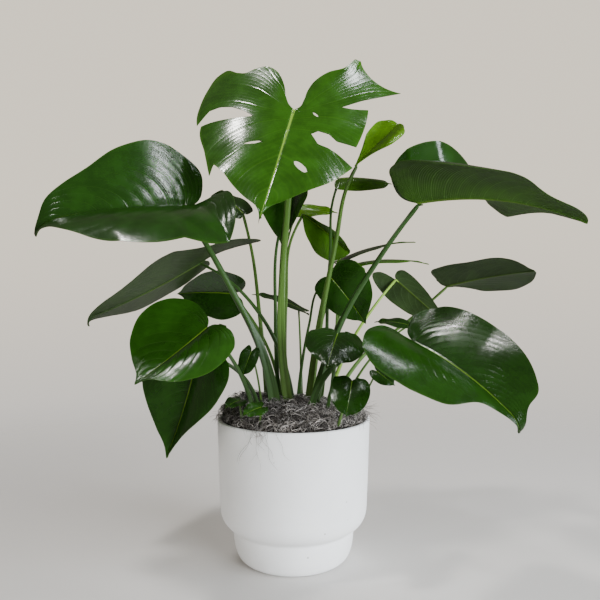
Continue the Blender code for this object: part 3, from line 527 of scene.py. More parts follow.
def surface_normals(points, tris):
    """Unit normals at the points: the sum of the crossed edges of the triangles around each."""
    edges = points[tris]
    crossed = np.cross(edges[:, 1] - edges[:, 0], edges[:, 2] - edges[:, 0])
    normals = np.zeros_like(points)
    for corner in range(3):
        np.add.at(normals, tris[:, corner], crossed)
    return normals / np.maximum(np.linalg.norm(normals, axis=1, keepdims=True), 1e-12)


def rim_edges(tris):
    """The directed edges whose reverse no triangle has, which are those round the rim."""
    edges = np.vstack([tris[:, [0, 1]], tris[:, [1, 2]], tris[:, [2, 0]]])
    size = tris.max() + 1
    return edges[~np.isin(edges[:, 0] * size + edges[:, 1], edges[:, 1] * size + edges[:, 0])]


def make_mesh(name, points, faces, materials, slots=None, uv=None, attributes=None):
    """A mesh object from points and faces that rides on the plant's body, smooth shaded, with
    material slots by face, and UV map and attributes by point."""
    mesh = bpy.data.meshes.new(name)
    mesh.from_pydata(points.tolist(), [], faces)
    for made in materials:
        mesh.materials.append(made)
    if slots is not None:
        mesh.polygons.foreach_set("material_index", slots)
    corners = np.zeros(len(mesh.loops), np.int32)
    mesh.loops.foreach_get("vertex_index", corners)
    if uv is not None:
        mesh.uv_layers.new(name="UVMap").data.foreach_set("uv", uv[corners].ravel())
    for key, values in (attributes or {}).items():
        mesh.attributes.new(key, "FLOAT", "POINT").data.foreach_set("value", values)
    mesh.shade_smooth()
    mesh.set_sharp_from_angle(angle=math.radians(50))
    mesh.update()
    piece = bpy.data.objects.new(name, mesh)
    bpy.context.scene.collection.objects.link(piece)
    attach(piece, "root")
    return piece


def whole_leaf(name):
    """All the values of a leaf: what is usual, with the leaf's own entries over it."""
    return {**USUAL, **FINISH, **LEAVES[name], **FINISHES.get(name, {})}


def build_blade(name, settings, across, along):
    """A blade over its CAD node. The upper side has the midrib sunk as a bell-shaped groove and
    swells between the veins as a power of a sine; the underside has the same veins raised. The
    margin waves up and down as a sine of the way along, and the blade thins to its margin."""
    leaf = whole_leaf(name)
    flat, lengthwise, crosswise, tris = flat_leaf(leaf, across, along)
    flat, tris = pierce(flat, tris, leaf["holes"])
    points, out, length = place(leaf, flat)
    normals = surface_normals(points, tris)
    size = min(1.0, length / 0.20)
    wide = np.abs(crosswise)
    phase = leaf["veins"] * (lengthwise - leaf["sweep"] * wide**2)
    swell = np.abs(np.sin(np.pi * phase)) ** 0.8
    swell = swell * np.clip(wide / 0.15, 0, 1) * (1 - 0.5 * wide**3)
    run = np.clip(flat[:, 0], 0, 1)
    rib = np.exp(-(out / (0.0007 * size + 0.0013 * size * (1 - run))) ** 2)
    rib = rib * np.where(flat[:, 0] < 0, np.clip(1 + flat[:, 0] * 25, 0, 1), 1)
    near = 1 + 1.2 * np.exp(-((flat[:, 0] / 0.2) ** 2) - (flat[:, 1] / 0.5) ** 2)
    up = near * leaf["quilt"] * settings.quilting * size * swell - settings.groove * size * rib
    ripple = leaf["wave"] * MM * wide**2 * np.sin(2 * np.pi * leaf["waves"] * lengthwise
                                                  + 2.0 * np.sign(crosswise) + len(name))
    middle = points + normals * ripple[:, None]
    thick = settings.thickness * (1 - 0.45 * wide**6)
    down = thick + size * (0.0016 * rib + 0.0003 * (1 - swell) * np.clip(wide / 0.1, 0, 1))
    top = middle + normals * up[:, None]
    bottom = middle - normals * down[:, None]
    count = len(points)
    edges = rim_edges(tris)
    walls = np.column_stack([edges[:, 1], edges[:, 0], edges[:, 0] + count, edges[:, 1] + count])
    faces = tris.tolist() + (tris[:, ::-1] + count).tolist() + walls.tolist()
    slots = np.repeat([0, 1, 1], [len(tris), len(tris), len(walls)]).astype(np.int32)
    uv = np.tile(np.column_stack([lengthwise, 0.5 + crosswise / 2]), (2, 1))
    target = name + "_blade"
    piece = make_mesh(target + "_skin", np.vstack([top, bottom]), faces,
                      [leaf_upper(leaf, settings), leaf_under(leaf, settings)],
                      slots, uv, {"rib": np.tile(rib * (1 - 0.55 * run), 2)})
    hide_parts(target)


def tube(path, radii, front, sides):
    """Rings round a path: each ring is square to the path's direction and starts at front.
    radii is an array (points, sides)."""
    ahead = np.gradient(path, axis=0)
    ahead /= np.linalg.norm(ahead, axis=1, keepdims=True)
    first = front - (ahead @ front)[:, None] * ahead
    first /= np.linalg.norm(first, axis=1, keepdims=True)
    second = np.cross(ahead, first)
    turn = np.linspace(0, 2 * np.pi, sides, endpoint=False)
    around = (first[:, None] * np.cos(turn)[None, :, None]
              + second[:, None] * np.sin(turn)[None, :, None])
    return path[:, None] + around * radii[..., None]


def build_petiole(name, settings):
    """A petiole over its CAD node: a tapered tube with a shallow groove down its upper side, two
    low wings of sheath beside the groove near its foot, and a swollen joint under the blade. Its
    upper side ends 1.1 mm under the joint, and then a curve from end to goal, drawn to knee, runs
    out under the midrib as (1-q)^2 end + 2q(1-q) knee + q^2 goal."""
    leaf = whole_leaf(name)
    joint, reach, forward, _, face = leaf_frame(leaf)
    foot_radius, top_radius = np.array(leaf["radii"]) * MM
    end = joint - face * (0.0011 + top_radius)
    points = np.vstack([[*(np.array(leaf["foot"]) * MM), FOOT_HEIGHT],
                        np.array(leaf["route"], float).reshape(-1, 3) * MM, end])
    s = np.linspace(0, 1, 72)
    path = smooth(points, s)
    q = np.linspace(0, 1, 9)[1:, None]
    goal = joint + forward * min(0.05 * reach, 0.008) - face * 0.0012
    knee = joint - face * (0.0008 + 0.5 * top_radius)
    run_out = (1 - q) ** 2 * end + 2 * q * (1 - q) * knee + q**2 * goal
    path = np.vstack([path, run_out])
    radius = foot_radius * (1 - s) + top_radius * s
    radius = radius * (1 + 0.14 * np.exp(-((s - 0.97) / 0.02) ** 2))
    radius = np.concatenate([radius, top_radius * (1 - 0.7 * q[:, 0])])
    s = np.concatenate([s, np.ones(len(q))])
    sides = 20
    turn = np.linspace(0, 2 * np.pi, sides, endpoint=False)
    turn = np.minimum(turn, 2 * np.pi - turn)
    low = np.clip(1 - s / settings.sheath_reach, 0, 1)[:, None]
    wing = leaf["sheath"] * settings.sheath * low**0.8 * np.exp(-((turn - 1.0) / 0.35) ** 2)[None]
    groove = (0.16 + 0.25 * low) * np.exp(-((turn / 0.55) ** 2))[None]
    rings = tube(path, radius[:, None] * (1 + wing - groove), face, sides)
    rows = len(path)
    quads = grid_faces(rows, sides, wrap=True).tolist()
    caps = [list(range(sides))[::-1], [(rows - 1) * sides + i for i in range(sides)]]
    around = np.tile(np.linspace(0, 1, sides, endpoint=False), rows)
    uv = np.column_stack([around, np.repeat(s, sides)])
    target = name + "_petiole"
    piece = make_mesh(target + "_skin", rings.reshape(-1, 3), quads + caps,
                      [petiole_green(settings, leaf["stalk"])], uv=uv)
    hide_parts(target)


# Materials

def put(tree, socket, given):
    """Links an output to a node's input, or sets the input; a colour gets its fourth value."""
    if isinstance(given, bpy.types.NodeSocket):
        tree.links.new(given, socket)
    elif socket.type == "RGBA":
        socket.default_value = (*given, 1.0)
    else:
        socket.default_value = given


def node(tree, kind, inputs=None, **settings):
    """A node with its settings, and its inputs linked or set."""
    made = tree.nodes.new(kind)
    for key, given in settings.items():
        setattr(made, key, given)
    for key, given in (inputs or {}).items():
        put(tree, made.inputs[key], given)
    return made


def maths(tree, operation, *given):
    """A Math node's output for the operation on up to three sockets or numbers."""
    return node(tree, "ShaderNodeMath", dict(enumerate(given)), operation=operation).outputs[0]


def step_between(tree, given, low, high, from_value=0.0, to_value=1.0):
    """A smooth step of a socket between low and high."""
    inputs = {"Value": given, "From Min": low, "From Max": high, "To Min": from_value,
              "To Max": to_value}
    return node(tree, "ShaderNodeMapRange", inputs, interpolation_type="SMOOTHSTEP").outputs[0]


def mix(tree, factor, first, second):
    """A colour mix of two sockets or colours."""
    inputs = {0: factor, 6: first, 7: second}
    return node(tree, "ShaderNodeMix", inputs, data_type="RGBA").outputs[2]


def noise(tree, vector, scale, detail=2.0, roughness=0.5):
    """The value of a Noise Texture on a vector."""
    inputs = {"Vector": vector, "Scale": scale, "Detail": detail, "Roughness": roughness}
    return node(tree, "ShaderNodeTexNoise", inputs).outputs[0]


def coordinates(tree, kind):
    """The Texture Coordinate output of a kind, such as UV or Object."""
    return node(tree, "ShaderNodeTexCoord").outputs[kind]


def dim(colour, share):
    """A colour with every part times a share."""
    return [share * part for part in colour]


def finish(tree, shader, colour, roughness, height=None, strength=0.0, distance=0.0):
    """Gives the shader its colour and roughness, and a bump of a height where there is one."""
    put(tree, shader.inputs["Base Color"], colour)
    put(tree, shader.inputs["Roughness"], roughness)
    if height is not None:
        inputs = {"Height": height, "Strength": strength, "Distance": distance}
        put(tree, shader.inputs["Normal"], node(tree, "ShaderNodeBump", inputs).outputs[0])


def new_material(name):
    """A material with its Principled BSDF shader, and the shader and tree for short."""
    made = bpy.data.materials.new(name)
    made.use_nodes = True
    return made, made.node_tree, made.node_tree.nodes["Principled BSDF"]


def new_group(name, inputs, outputs):
    """An empty shader node group with float inputs with defaults, and named outputs."""
    group = bpy.data.node_groups.new(name, "ShaderNodeTree")
    kind = "NodeSocketFloat"
    for key, default in inputs.items():
        socket = group.interface.new_socket(name=key, in_out="INPUT", socket_type=kind)
        socket.default_value = default
    for key in outputs:
        group.interface.new_socket(name=key, in_out="OUTPUT", socket_type=kind)
    return group, node(group, "NodeGroupInput").outputs, node(group, "NodeGroupOutput").inputs


def place_group(tree, name, build, **values):
    """The outputs of a shared node group placed in a material with the material's own values.
    The group is built at its first use."""
    if name not in bpy.data.node_groups:
        build(name)
    return node(tree, "ShaderNodeGroup", values, node_tree=bpy.data.node_groups[name]).outputs


def leaf_marks(name):
    """The group of leaf markings on the UV map: main veins, fine veins between them, a mottle
    on object coordinates, and the margin."""
    group, given, out = new_group(name, {"Veins": 9.0, "Sweep": 0.2, "Width": 0.05},
                                  ["Vein", "Fine vein", "Mottle", "Margin"])
    space = coordinates(group, "Object")
    parts = node(group, "ShaderNodeSeparateXYZ", {0: coordinates(group, "UV")}).outputs
    wide = maths(group, "ABSOLUTE", maths(group, "MULTIPLY_ADD", parts[1], 2.0, -1.0))
    bow = maths(group, "MULTIPLY", maths(group, "MULTIPLY", wide, wide), given["Sweep"])
    phase = maths(group, "MULTIPLY", maths(group, "SUBTRACT", parts[0], bow), given["Veins"])
    wavy = maths(group, "MULTIPLY_ADD", noise(group, space, 60.0), 0.05, phase)
    fade = step_between(group, wide, 0.55, 1.0, 1.0, 0.25)
    main = maths(group, "PINGPONG", wavy, 0.5)
    vein = step_between(group, main, 0.0, given["Width"], 1.0, 0.0)
    fine = maths(group, "PINGPONG", maths(group, "MULTIPLY", wavy, 6.0), 0.5)
    put(group, out["Vein"], maths(group, "MULTIPLY", vein, fade))
    put(group, out["Fine vein"], step_between(group, fine, 0.0, 0.30, 1.0, 0.0))
    put(group, out["Mottle"], noise(group, space, 34.0, 5.0, 0.6))
    put(group, out["Margin"], step_between(group, wide, 0.975, 0.995))


def stalk_streaks(name):
    """The group of petiole markings on the UV map: fine lengthwise streaks, and the pale foot."""
    group, _, out = new_group(name, {}, ["Streaks", "Foot"])
    way = coordinates(group, "UV")
    stretch = node(group, "ShaderNodeMapping", {"Vector": way, "Scale": (26.0, 5.0, 1.0)})
    parts = node(group, "ShaderNodeSeparateXYZ", {0: way}).outputs
    put(group, out["Streaks"], noise(group, stretch.outputs[0], 1.0, 4.0))
    put(group, out["Foot"], step_between(group, parts[1], 0.0, 0.3, 1.0, 0.0))


def crumb_lumps(name):
    """The group of crumbs on object coordinates: their height, and a tone from dark to light."""
    group, given, out = new_group(name, {"Scale": 200.0}, ["Height", "Tone"])
    lumps = noise(group, coordinates(group, "Object"), given["Scale"], 6.0, 0.7)
    put(group, out["Height"], lumps)
    put(group, out["Tone"], step_between(group, lumps, 0.4, 0.65))


def veined(tree, leaf, width, greens, mottle, shares):
    """The leaf markings placed in a material, and its colour from three greens: the deep and the
    middle one by the mottle, and the pale one on the fine and the main veins by their shares."""
    deep, base, pale = greens
    marks = place_group(tree, "Leaf marks", leaf_marks, Veins=leaf["veins"], Sweep=leaf["sweep"],
                        Width=width)
    colour = mix(tree, step_between(tree, marks["Mottle"], *mottle), deep, base)
    for key, share in zip(("Fine vein", "Vein"), shares):
        colour = mix(tree, maths(tree, "MULTIPLY", marks[key], share), colour, pale)
    return marks, colour


def leaf_upper(leaf, settings):
    """The glossy upper side: mottled green, a little paler along the veins and the midrib."""
    green = leaf["green"]
    name = f"Leaf upper {green} {leaf['veins']} {leaf['sweep']}"
    if name in bpy.data.materials:
        return bpy.data.materials[name]
    made, tree, shader = new_material(name)
    base = getattr(settings, green)
    pale = [base[0] * 1.7 + 0.012, base[1] * 1.45 + 0.018, base[2] * 1.2 + 0.003]
    greens = (dim(base, 0.66), base, pale)
    marks, colour = veined(tree, leaf, 0.06, greens, (0.35, 0.68), (0.08, 0.16))
    rib = node(tree, "ShaderNodeAttribute", attribute_name="rib").outputs["Fac"]
    share = {"dark": 0.55, "under": 0.4}.get(green, 0.85)
    line = maths(tree, "MULTIPLY", step_between(tree, rib, 0.15, 0.75), share)
    colour = mix(tree, line, colour, settings.midrib)
    colour = mix(tree, maths(tree, "MULTIPLY", marks["Margin"], 0.45), colour, pale)
    rough = maths(tree, "MULTIPLY_ADD", marks["Mottle"], 0.14, settings.gloss_roughness - 0.07)
    height = maths(tree, "MULTIPLY_ADD", marks["Vein"], -0.3,
                   maths(tree, "MULTIPLY_ADD", marks["Fine vein"], -0.12,
                         maths(tree, "MULTIPLY", marks["Mottle"], 1.6)))
    finish(tree, shader, colour, rough, height, strength=0.45, distance=0.0007)
    shader.inputs["Specular IOR Level"].default_value = 0.5
    return made


def leaf_under(leaf, settings):
    """The duller underside: olive or grey green, a little paler along its raised veins."""
    green = leaf["green"]
    name = f"Leaf under {green} {leaf['veins']} {leaf['sweep']}"
    if name in bpy.data.materials:
        return bpy.data.materials[name]
    made, tree, shader = new_material(name)
    base = settings.turned if green == "under" else settings.underside
    # Undersides of the young, bright and thin light green leaves lean to their upper green; that of
    # the thin light green ones is partly painted light shining through the blade.
    if green in ("young", "bright", "fresh"):
        base = [b * 0.4 + 0.6 * c for b, c in zip(base, getattr(settings, green))]
    pale = [c * 1.5 + 0.008 for c in base]
    greens = (dim(base, 0.55), base, pale)
    marks, colour = veined(tree, leaf, 0.08, greens, (0.3, 0.7), (0.30, 0.50))
    rib = node(tree, "ShaderNodeAttribute", attribute_name="rib").outputs["Fac"]
    line = maths(tree, "MULTIPLY", step_between(tree, rib, 0.3, 0.8), 0.5)
    colour = mix(tree, line, colour, dim(settings.midrib, 0.45))
    rough = maths(tree, "MULTIPLY_ADD", marks["Mottle"], 0.15, 0.40)
    height = maths(tree, "MULTIPLY_ADD", marks["Vein"], 0.8, marks["Fine vein"])
    finish(tree, shader, colour, rough, height, strength=0.35, distance=0.0006)
    shader.inputs["Specular IOR Level"].default_value = 0.2
    return made


def petiole_green(settings, stalk):
    """Satin stalk green with fine lengthwise streaks and a paler foot, in the stalk's own green."""
    name = f"Petiole {stalk}"
    if name in bpy.data.materials:
        return bpy.data.materials[name]
    made, tree, shader = new_material(name)
    marks = place_group(tree, "Stalk streaks", stalk_streaks)
    base = getattr(settings, stalk)
    tone = step_between(tree, marks["Streaks"], 0.3, 0.7)
    colour = mix(tree, tone, dim(base, 0.6), dim(base, 1.25))
    colour = mix(tree, maths(tree, "MULTIPLY", marks["Foot"], 0.35), colour, (0.09, 0.13, 0.035))
    finish(tree, shader, colour, 0.38, marks["Streaks"], strength=0.3, distance=0.0004)
    return made


def pot_ceramic(settings):
    """Matt white ceramic: a fine grain, a cloudy tone, and small dark pits."""
    made, tree, shader = new_material("Pot ceramic")
    space = coordinates(tree, "Object")
    cloud = noise(tree, space, 9.0, 3.0)
    grain = noise(tree, space, 420.0)
    cells = node(tree, "ShaderNodeTexVoronoi", {"Vector": space, "Scale": 70.0}).outputs[0]
    pit = maths(tree, "MULTIPLY", step_between(tree, cells, 0.0, 0.10, 1.0, 0.0),
                step_between(tree, noise(tree, space, 24.0), 0.60, 0.66))
    for spot, size in PITS:
        gap = node(tree, "ShaderNodeVectorMath", {0: space, 1: spot}, operation="DISTANCE")
        dark = step_between(tree, gap.outputs[1], 0.6 * size, size, 1.0, 0.0)
        pit = maths(tree, "MAXIMUM", pit, dark)
    tone = step_between(tree, cloud, 0.3, 0.7)
    colour = mix(tree, tone, dim(settings.glaze, 0.93), settings.glaze)
    colour = mix(tree, maths(tree, "MULTIPLY", pit, 0.55), colour, (0.30, 0.28, 0.26))
    rough = maths(tree, "MULTIPLY_ADD", grain, 0.12, settings.roughness)
    height = maths(tree, "MULTIPLY_ADD", pit, -1.5, grain)
    finish(tree, shader, colour, rough, height, strength=0.25, distance=0.0003)
    return made


def crumb(name, dark, light, scale):
    """A crumbly matt surface of two tones: soil, or the moss mat under its strands, whose near-black
    tones there are painted shade.
    """
    made, tree, shader = new_material(name)
    lumps = place_group(tree, "Crumb lumps", crumb_lumps, Scale=scale)
    colour = mix(tree, lumps["Tone"], dark, light)
    finish(tree, shader, colour, 0.95, lumps["Height"], strength=0.8, distance=0.002)
    return made


def moss_fibre(settings):
    """Dry grey fibre: each strand's tone comes from its tone attribute, which holds the strand's
    own tone and, on the curly strands, painted light on the higher ones and painted shade on
    the lower ones.
    """
    name = "Moss fibre"
    if name in bpy.data.materials:
        return bpy.data.materials[name]
    made, tree, shader = new_material(name)
    tone = node(tree, "ShaderNodeAttribute", attribute_name="tone").outputs["Fac"]
    finish(tree, shader, mix(tree, tone, settings.dark, settings.pale), 0.9)
    return made


# Pot and moss

def pot_profile():
    """The pot's profile of (radius, height), from the middle of its floor up the inner wall,
    over the rounded rim, down the outer wall, in over the step and under the foot."""
    inner = smooth([(0.066, 0.009), (0.077, 0.014), (0.0818, 0.030), (0.082, 0.046),
                    (0.094, 0.058), (0.101, 0.078), (0.1035, 0.140), (0.105, 0.2025)],
                   np.linspace(0, 1, 40))
    rim = smooth([(0.105, 0.2025), (0.1062, 0.2045), (0.108, 0.205), (0.1097, 0.2046),
                  (0.111, 0.203)], np.linspace(0, 1, 14)[1:])
    wall = smooth([(0.111, 0.203), (0.1097, 0.160), (0.1083, 0.110), (0.107, 0.077)],
                  np.linspace(0, 1, 20)[1:])
    shoulder = smooth([(0.107, 0.077), (0.1062, 0.069), (0.1035, 0.061), (0.0985, 0.054),
                       (0.0925, 0.0495), (0.0890, 0.0470), (0.0878, 0.0440)],
                      np.linspace(0, 1, 26)[1:])
    foot = smooth([(0.0878, 0.0440), (0.0873, 0.030), (0.0845, 0.015), (0.0795, 0.0045),
                   (0.0745, 0.0005), (0.071, 0.0)], np.linspace(0, 1, 26)[1:])
    return np.vstack([[(0, 0.009)], inner, rim, wall, shoulder, foot, [(0, 0)]])


def closed_rings(rings, first, last):
    """Points and faces of rings (rows, steps, 3) about Z, each end closed to a single point."""
    rows, steps = rings.shape[:2]
    points = np.vstack([rings.reshape(-1, 3), [first, last]])
    ring = np.arange(steps)
    after = np.roll(ring, -1)
    end = (rows - 1) * steps
    count = rows * steps
    start_fan = np.column_stack([ring, after, np.full(steps, count)])
    end_fan = np.column_stack([after + end, ring + end, np.full(steps, count + 1)])
    faces = grid_faces(rows, steps, wrap=True).tolist() + np.vstack([start_fan, end_fan]).tolist()
    return points, faces


def build_pot(settings):
    """The pot turned about Z: its profile at 160 steps, closed at the axis by single points."""
    profile = pot_profile()
    turn = np.linspace(0, 2 * np.pi, 160, endpoint=False)
    radius, height = profile[1:-1, 0, None], profile[1:-1, 1, None]
    rings = np.stack([radius * np.cos(turn), radius * np.sin(turn), height + 0 * turn], -1)
    points, faces = closed_rings(rings, (0, 0, profile[0, 1]), (0, 0, 0))
    piece = make_mesh("pot_skin", points, faces, [pot_ceramic(settings)])
    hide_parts("pot")


def moss_height(x, y):
    """The mat's height: a low dome that falls with the square of the radius, a clump at the left
    that falls off as a bell, and small lumps, a sine times a cosine, that end at the edge."""
    radius = np.hypot(x, y) / 0.1042
    dome = 0.019 * np.clip(1 - radius**2, 0, None)
    off = np.hypot(x + 0.070, y + 0.010) / 0.038
    clump = 0.020 * np.exp(-off**2)
    lumps = 0.0016 * np.sin(210 * x + 90 * y) * np.cos(170 * y - 60 * x)
    return 0.207 + dome + clump + lumps * np.clip(3 * (1 - radius), 0, 1)


def build_moss_mat():
    """The mat under the strands: the height formula less 2.2 mm on a round grid, with uneven
    small lumps of crossed sines, closed by a flat underside on the soil. Its near-black crumb
    is painted shade, the shade down in the gaps between the strands."""
    steps = 150
    turn = np.linspace(0, 2 * np.pi, steps, endpoint=False)
    radius = np.linspace(0.002, MAT_RADIUS, 44)[:, None]
    x, y = radius * np.cos(turn), radius * np.sin(turn)
    rough = (np.sin(900 * x + 310 * y) * np.sin(820 * y - 410 * x)
             + np.sin(480 * x - 700 * y + 1.0) * np.cos(560 * x + 390 * y))
    upper = np.stack([x, y, moss_height(x, y) - 0.0022 + 0.0012 * rough], -1)
    edge = np.stack([x[-1:], y[-1:], np.full((1, steps), MAT_UNDERSIDE)], -1)
    points, faces = closed_rings(np.vstack([upper, edge]), (0, 0, moss_height(0.0, 0.0) - 0.002),
                                 (0, 0, MAT_UNDERSIDE))
    piece = make_mesh("moss_mat", points, faces,
                      # The mat's near-black tones are painted shade, the shade in the gaps between
                      # the strands.
                      [crumb("Moss mat", (0.008, 0.007, 0.006), (0.03, 0.025, 0.022), 160.0)])
    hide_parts("moss")


def strand_mesh(name, paths, radius, tone, settings):
    """Three-sided tubes along many paths at once, an array (strands, points, 3): each ring is a
    triangle square to its path, and a sine narrows the tubes to about a quarter at both ends."""
    strands, count = paths.shape[:2]
    ahead = np.gradient(paths, axis=1)
    ahead /= np.maximum(np.linalg.norm(ahead, axis=2, keepdims=True), 1e-9)
    side = np.cross(ahead, np.array([0.3, 0.2, 1.0]))
    side /= np.maximum(np.linalg.norm(side, axis=2, keepdims=True), 1e-9)
    other = np.cross(ahead, side)
    taper = np.minimum(np.sin(np.pi * np.linspace(0.04, 0.96, count)) * 2.2, 1)
    turn = np.array([0, 2, 4]) * np.pi / 3
    rings = (paths[:, :, None] + (side[:, :, None] * np.cos(turn)[:, None]
                                  + other[:, :, None] * np.sin(turn)[:, None])
             * (radius[:, None] * taper)[:, :, None, None])
    one = grid_faces(count, 3, wrap=True)
    caps = np.array([[0, 1, 2], [(count - 1) * 3 + 2, (count - 1) * 3 + 1, (count - 1) * 3]])
    shift = (np.arange(strands) * count * 3)[:, None, None]
    faces = (one + shift).reshape(-1, 4).tolist() + (caps + shift).reshape(-1, 3).tolist()
    piece = make_mesh(name, rings.reshape(-1, 3), faces, [moss_fibre(settings)],
                      attributes={"tone": np.repeat(tone, count * 3)})


def curls(rng, count, points, smallest, largest, rounds):
    """Offsets (count, points, 3) of open rings: radius times the cosine and sine of a growing
    angle, along two crossed unit vectors whose plane leans any way."""
    s = np.linspace(0, 1, points)[None]
    radius = (smallest + (largest - smallest) * rng.random(count) ** 2)[:, None]
    angle = 2 * np.pi * (rng.random(count)[:, None]
                         + (rounds * (0.3 + 0.9 * rng.random(count)))[:, None] * s)
    one = rng.normal(size=(count, 3))
    one /= np.linalg.norm(one, axis=1, keepdims=True)
    two = np.cross(one, rng.normal(size=(count, 3)))
    two /= np.linalg.norm(two, axis=1, keepdims=True)
    return ((radius * np.cos(angle))[..., None] * one[:, None]
            + (radius * np.sin(angle))[..., None] * two[:, None])


def build_moss_strands(settings):
    """Curly strands on the mat: each runs a short way while it circles, and rides on the mat's
    height formula, so that loops stand out of it and dip into it. The higher a strand lies the
    paler it is and the lower the darker, painted light on the top of the moss and painted shade
    down in it, and a few are pale by chance."""
    rng = np.random.default_rng(7)
    pieces, bends = 3, 19
    batch = settings.strands // pieces
    s = np.linspace(0, 1, bends)[None]
    for number in range(pieces):
        radius = 0.1045 * np.sqrt(rng.random(batch))
        turn = rng.random(batch) * 2 * np.pi
        heading = rng.random(batch) * 2 * np.pi
        reach = 0.002 + 0.016 * rng.random(batch)
        lift = rng.random(batch) ** 1.5
        x = (radius * np.cos(turn))[:, None] + (s - 0.5) * (reach * np.cos(heading))[:, None]
        y = (radius * np.sin(turn))[:, None] + (s - 0.5) * (reach * np.sin(heading))[:, None]
        paths = np.stack([x, y, moss_height(x, y)], -1)
        paths = paths + curls(rng, batch, bends, smallest=0.0022, largest=0.0080, rounds=1.5)
        tuft = np.sin(330 * x + 2.0) * np.sin(290 * y + 1.0) + np.sin(520 * (x - y))
        paths[..., 2] += (0.0045 * lift - 0.0020)[:, None] + 0.0011 * tuft
        away = np.hypot(paths[..., 0], paths[..., 1])
        edge = np.where(paths[..., 2] > 0.2065, 0.1095, MAT_RADIUS)
        paths[..., :2] *= np.minimum(1, edge / np.maximum(away, 1e-6))[..., None]
        thick = settings.strand_radius * (0.6 + 0.7 * rng.random(batch))
        # Painted light and shade: a higher strand (more lift) is paler and a lower one nearer the
        # dark moss colour; the random share is the strand's own tone.
        tone = np.clip(0.4 * lift**3 + rng.random(batch) ** 6, 0, 1)
        strand_mesh(f"moss_strands_{number + 1}", paths, thick, tone, settings)


def build_moss_fringe(settings):
    """Loose strands at the rim. Each starts on the mat at its turn round the pot, and its radius
    and height follow r = start + out s^1.3 and z = top + rise s - drop s^2. The first lie all
    round the rim, the next stand out at the right and the last at the left."""
    rng = np.random.default_rng(11)
    bends = 21
    s = np.linspace(0, 1, bends)[None]
    around, right, left = 50, 50, 30
    count = around + right + left
    turn = np.concatenate([rng.random(around) * 2 * np.pi, rng.normal(0.0, 0.28, right),
                           rng.normal(np.pi, 0.30, left)])
    out = np.concatenate([0.001 + 0.006 * rng.random(around), 0.003 + 0.020 * rng.random(right),
                          0.002 + 0.013 * rng.random(left)])
    rise = np.concatenate([0.004 * rng.random(around), 0.024 * rng.random(right),
                           0.008 * rng.random(left)])[:, None]
    drop = (0.003 + 0.014 * rng.random(count))[:, None]
    radius = 0.098 + (0.010 + out[:, None]) * s**1.3
    way = turn[:, None] + rng.normal(0, 0.16, count)[:, None] * s
    height = 0.2095 + rise * s - drop * s**2
    height = np.where(radius < 0.112, np.maximum(height, 0.2075), height)
    paths = np.stack([radius * np.cos(way), radius * np.sin(way), height], -1)
    loops = curls(rng, count, bends, smallest=0.0010, largest=0.0050, rounds=1.2)
    paths = paths + loops * s[..., None] ** 0.5
    away = np.hypot(paths[..., 0], paths[..., 1])
    low = (paths[..., 2] < 0.2068) & (away < HANG_RADIUS)
    paths[..., :2] *= np.where(low, HANG_RADIUS / np.maximum(away, 1e-6), 1.0)[..., None]
    thick = settings.strand_radius * (0.40 + 0.35 * rng.random(count))
    strand_mesh("moss_fringe", paths, thick, 0.15 + 0.6 * rng.random(count), settings)
    build_moss_trail(rng, s, settings)


def build_moss_trail(rng, s, settings):
    """Thin strands that go over the rim at the front in the first part of their way, up to s = 0.3,
    and hang down the pot's outside in the rest, a little sideways and with a small wave."""
    count = 18
    turn = (-1.96 + rng.normal(0, 0.07, count))[:, None]
    length = (0.008 + 0.048 * rng.random(count) ** 1.3)[:, None]
    over = np.clip(s / 0.3, 0, 1)
    down = np.clip((s - 0.3) / 0.7, 0, 1)
    way = (turn + (0.14 * rng.normal(size=count)[:, None]) * down**1.4
           + 0.035 * down * np.sin(8 * down + turn * 40))
    radius = 0.100 + 0.0124 * over
    height = 0.2090 - 0.0015 * over - length * down
    paths = np.stack([radius * np.cos(way), radius * np.sin(way), height], -1)
    strand_mesh("moss_trail", paths, np.full(count, 0.55 * settings.strand_radius),
                0.15 + 0.3 * rng.random(count), settings)


# Stage

def add_light(name, at, target, size, power, colour, glossy):
    """An area light that faces its target. A fill that isn't glossy lights without a reflection."""
    data = bpy.data.lights.new(name, "AREA")
    data.shape = "RECTANGLE"
    data.size, data.size_y = size
    data.energy = power
    data.color = colour
    light = bpy.data.objects.new(name, data)
    bpy.context.scene.collection.objects.link(light)
    light.location = at
    light.visible_glossy = glossy
    way = np.array(target) - np.array(at)
    light.rotation_euler = (math.acos(-way[2] / np.linalg.norm(way)), 0,
                            math.atan2(way[1], way[0]) - math.pi / 2)


def build_floor(settings):
    """A round pale floor, 6 m across, that fades out from 0.35 m to 1.6 m from the pot."""
    turn = np.linspace(0, 2 * np.pi, 96, endpoint=False)
    points = np.column_stack([3 * np.cos(turn), 3 * np.sin(turn), np.full(96, -0.0006)])
    mesh = bpy.data.meshes.new("floor")
    mesh.from_pydata(points.tolist(), [], [list(range(96))])
    made, tree, shader = new_material("Floor")
    finish(tree, shader, settings.floor, 0.9)
    away = node(tree, "ShaderNodeVectorMath", {0: coordinates(tree, "Object")}, operation="LENGTH")
    put(tree, shader.inputs["Alpha"], step_between(tree, away.outputs[1], 0.35, 1.6, 1.0, 0.0))
    mesh.materials.append(made)
    floor = bpy.data.objects.new("floor", mesh)
    bpy.context.scene.collection.objects.link(floor)


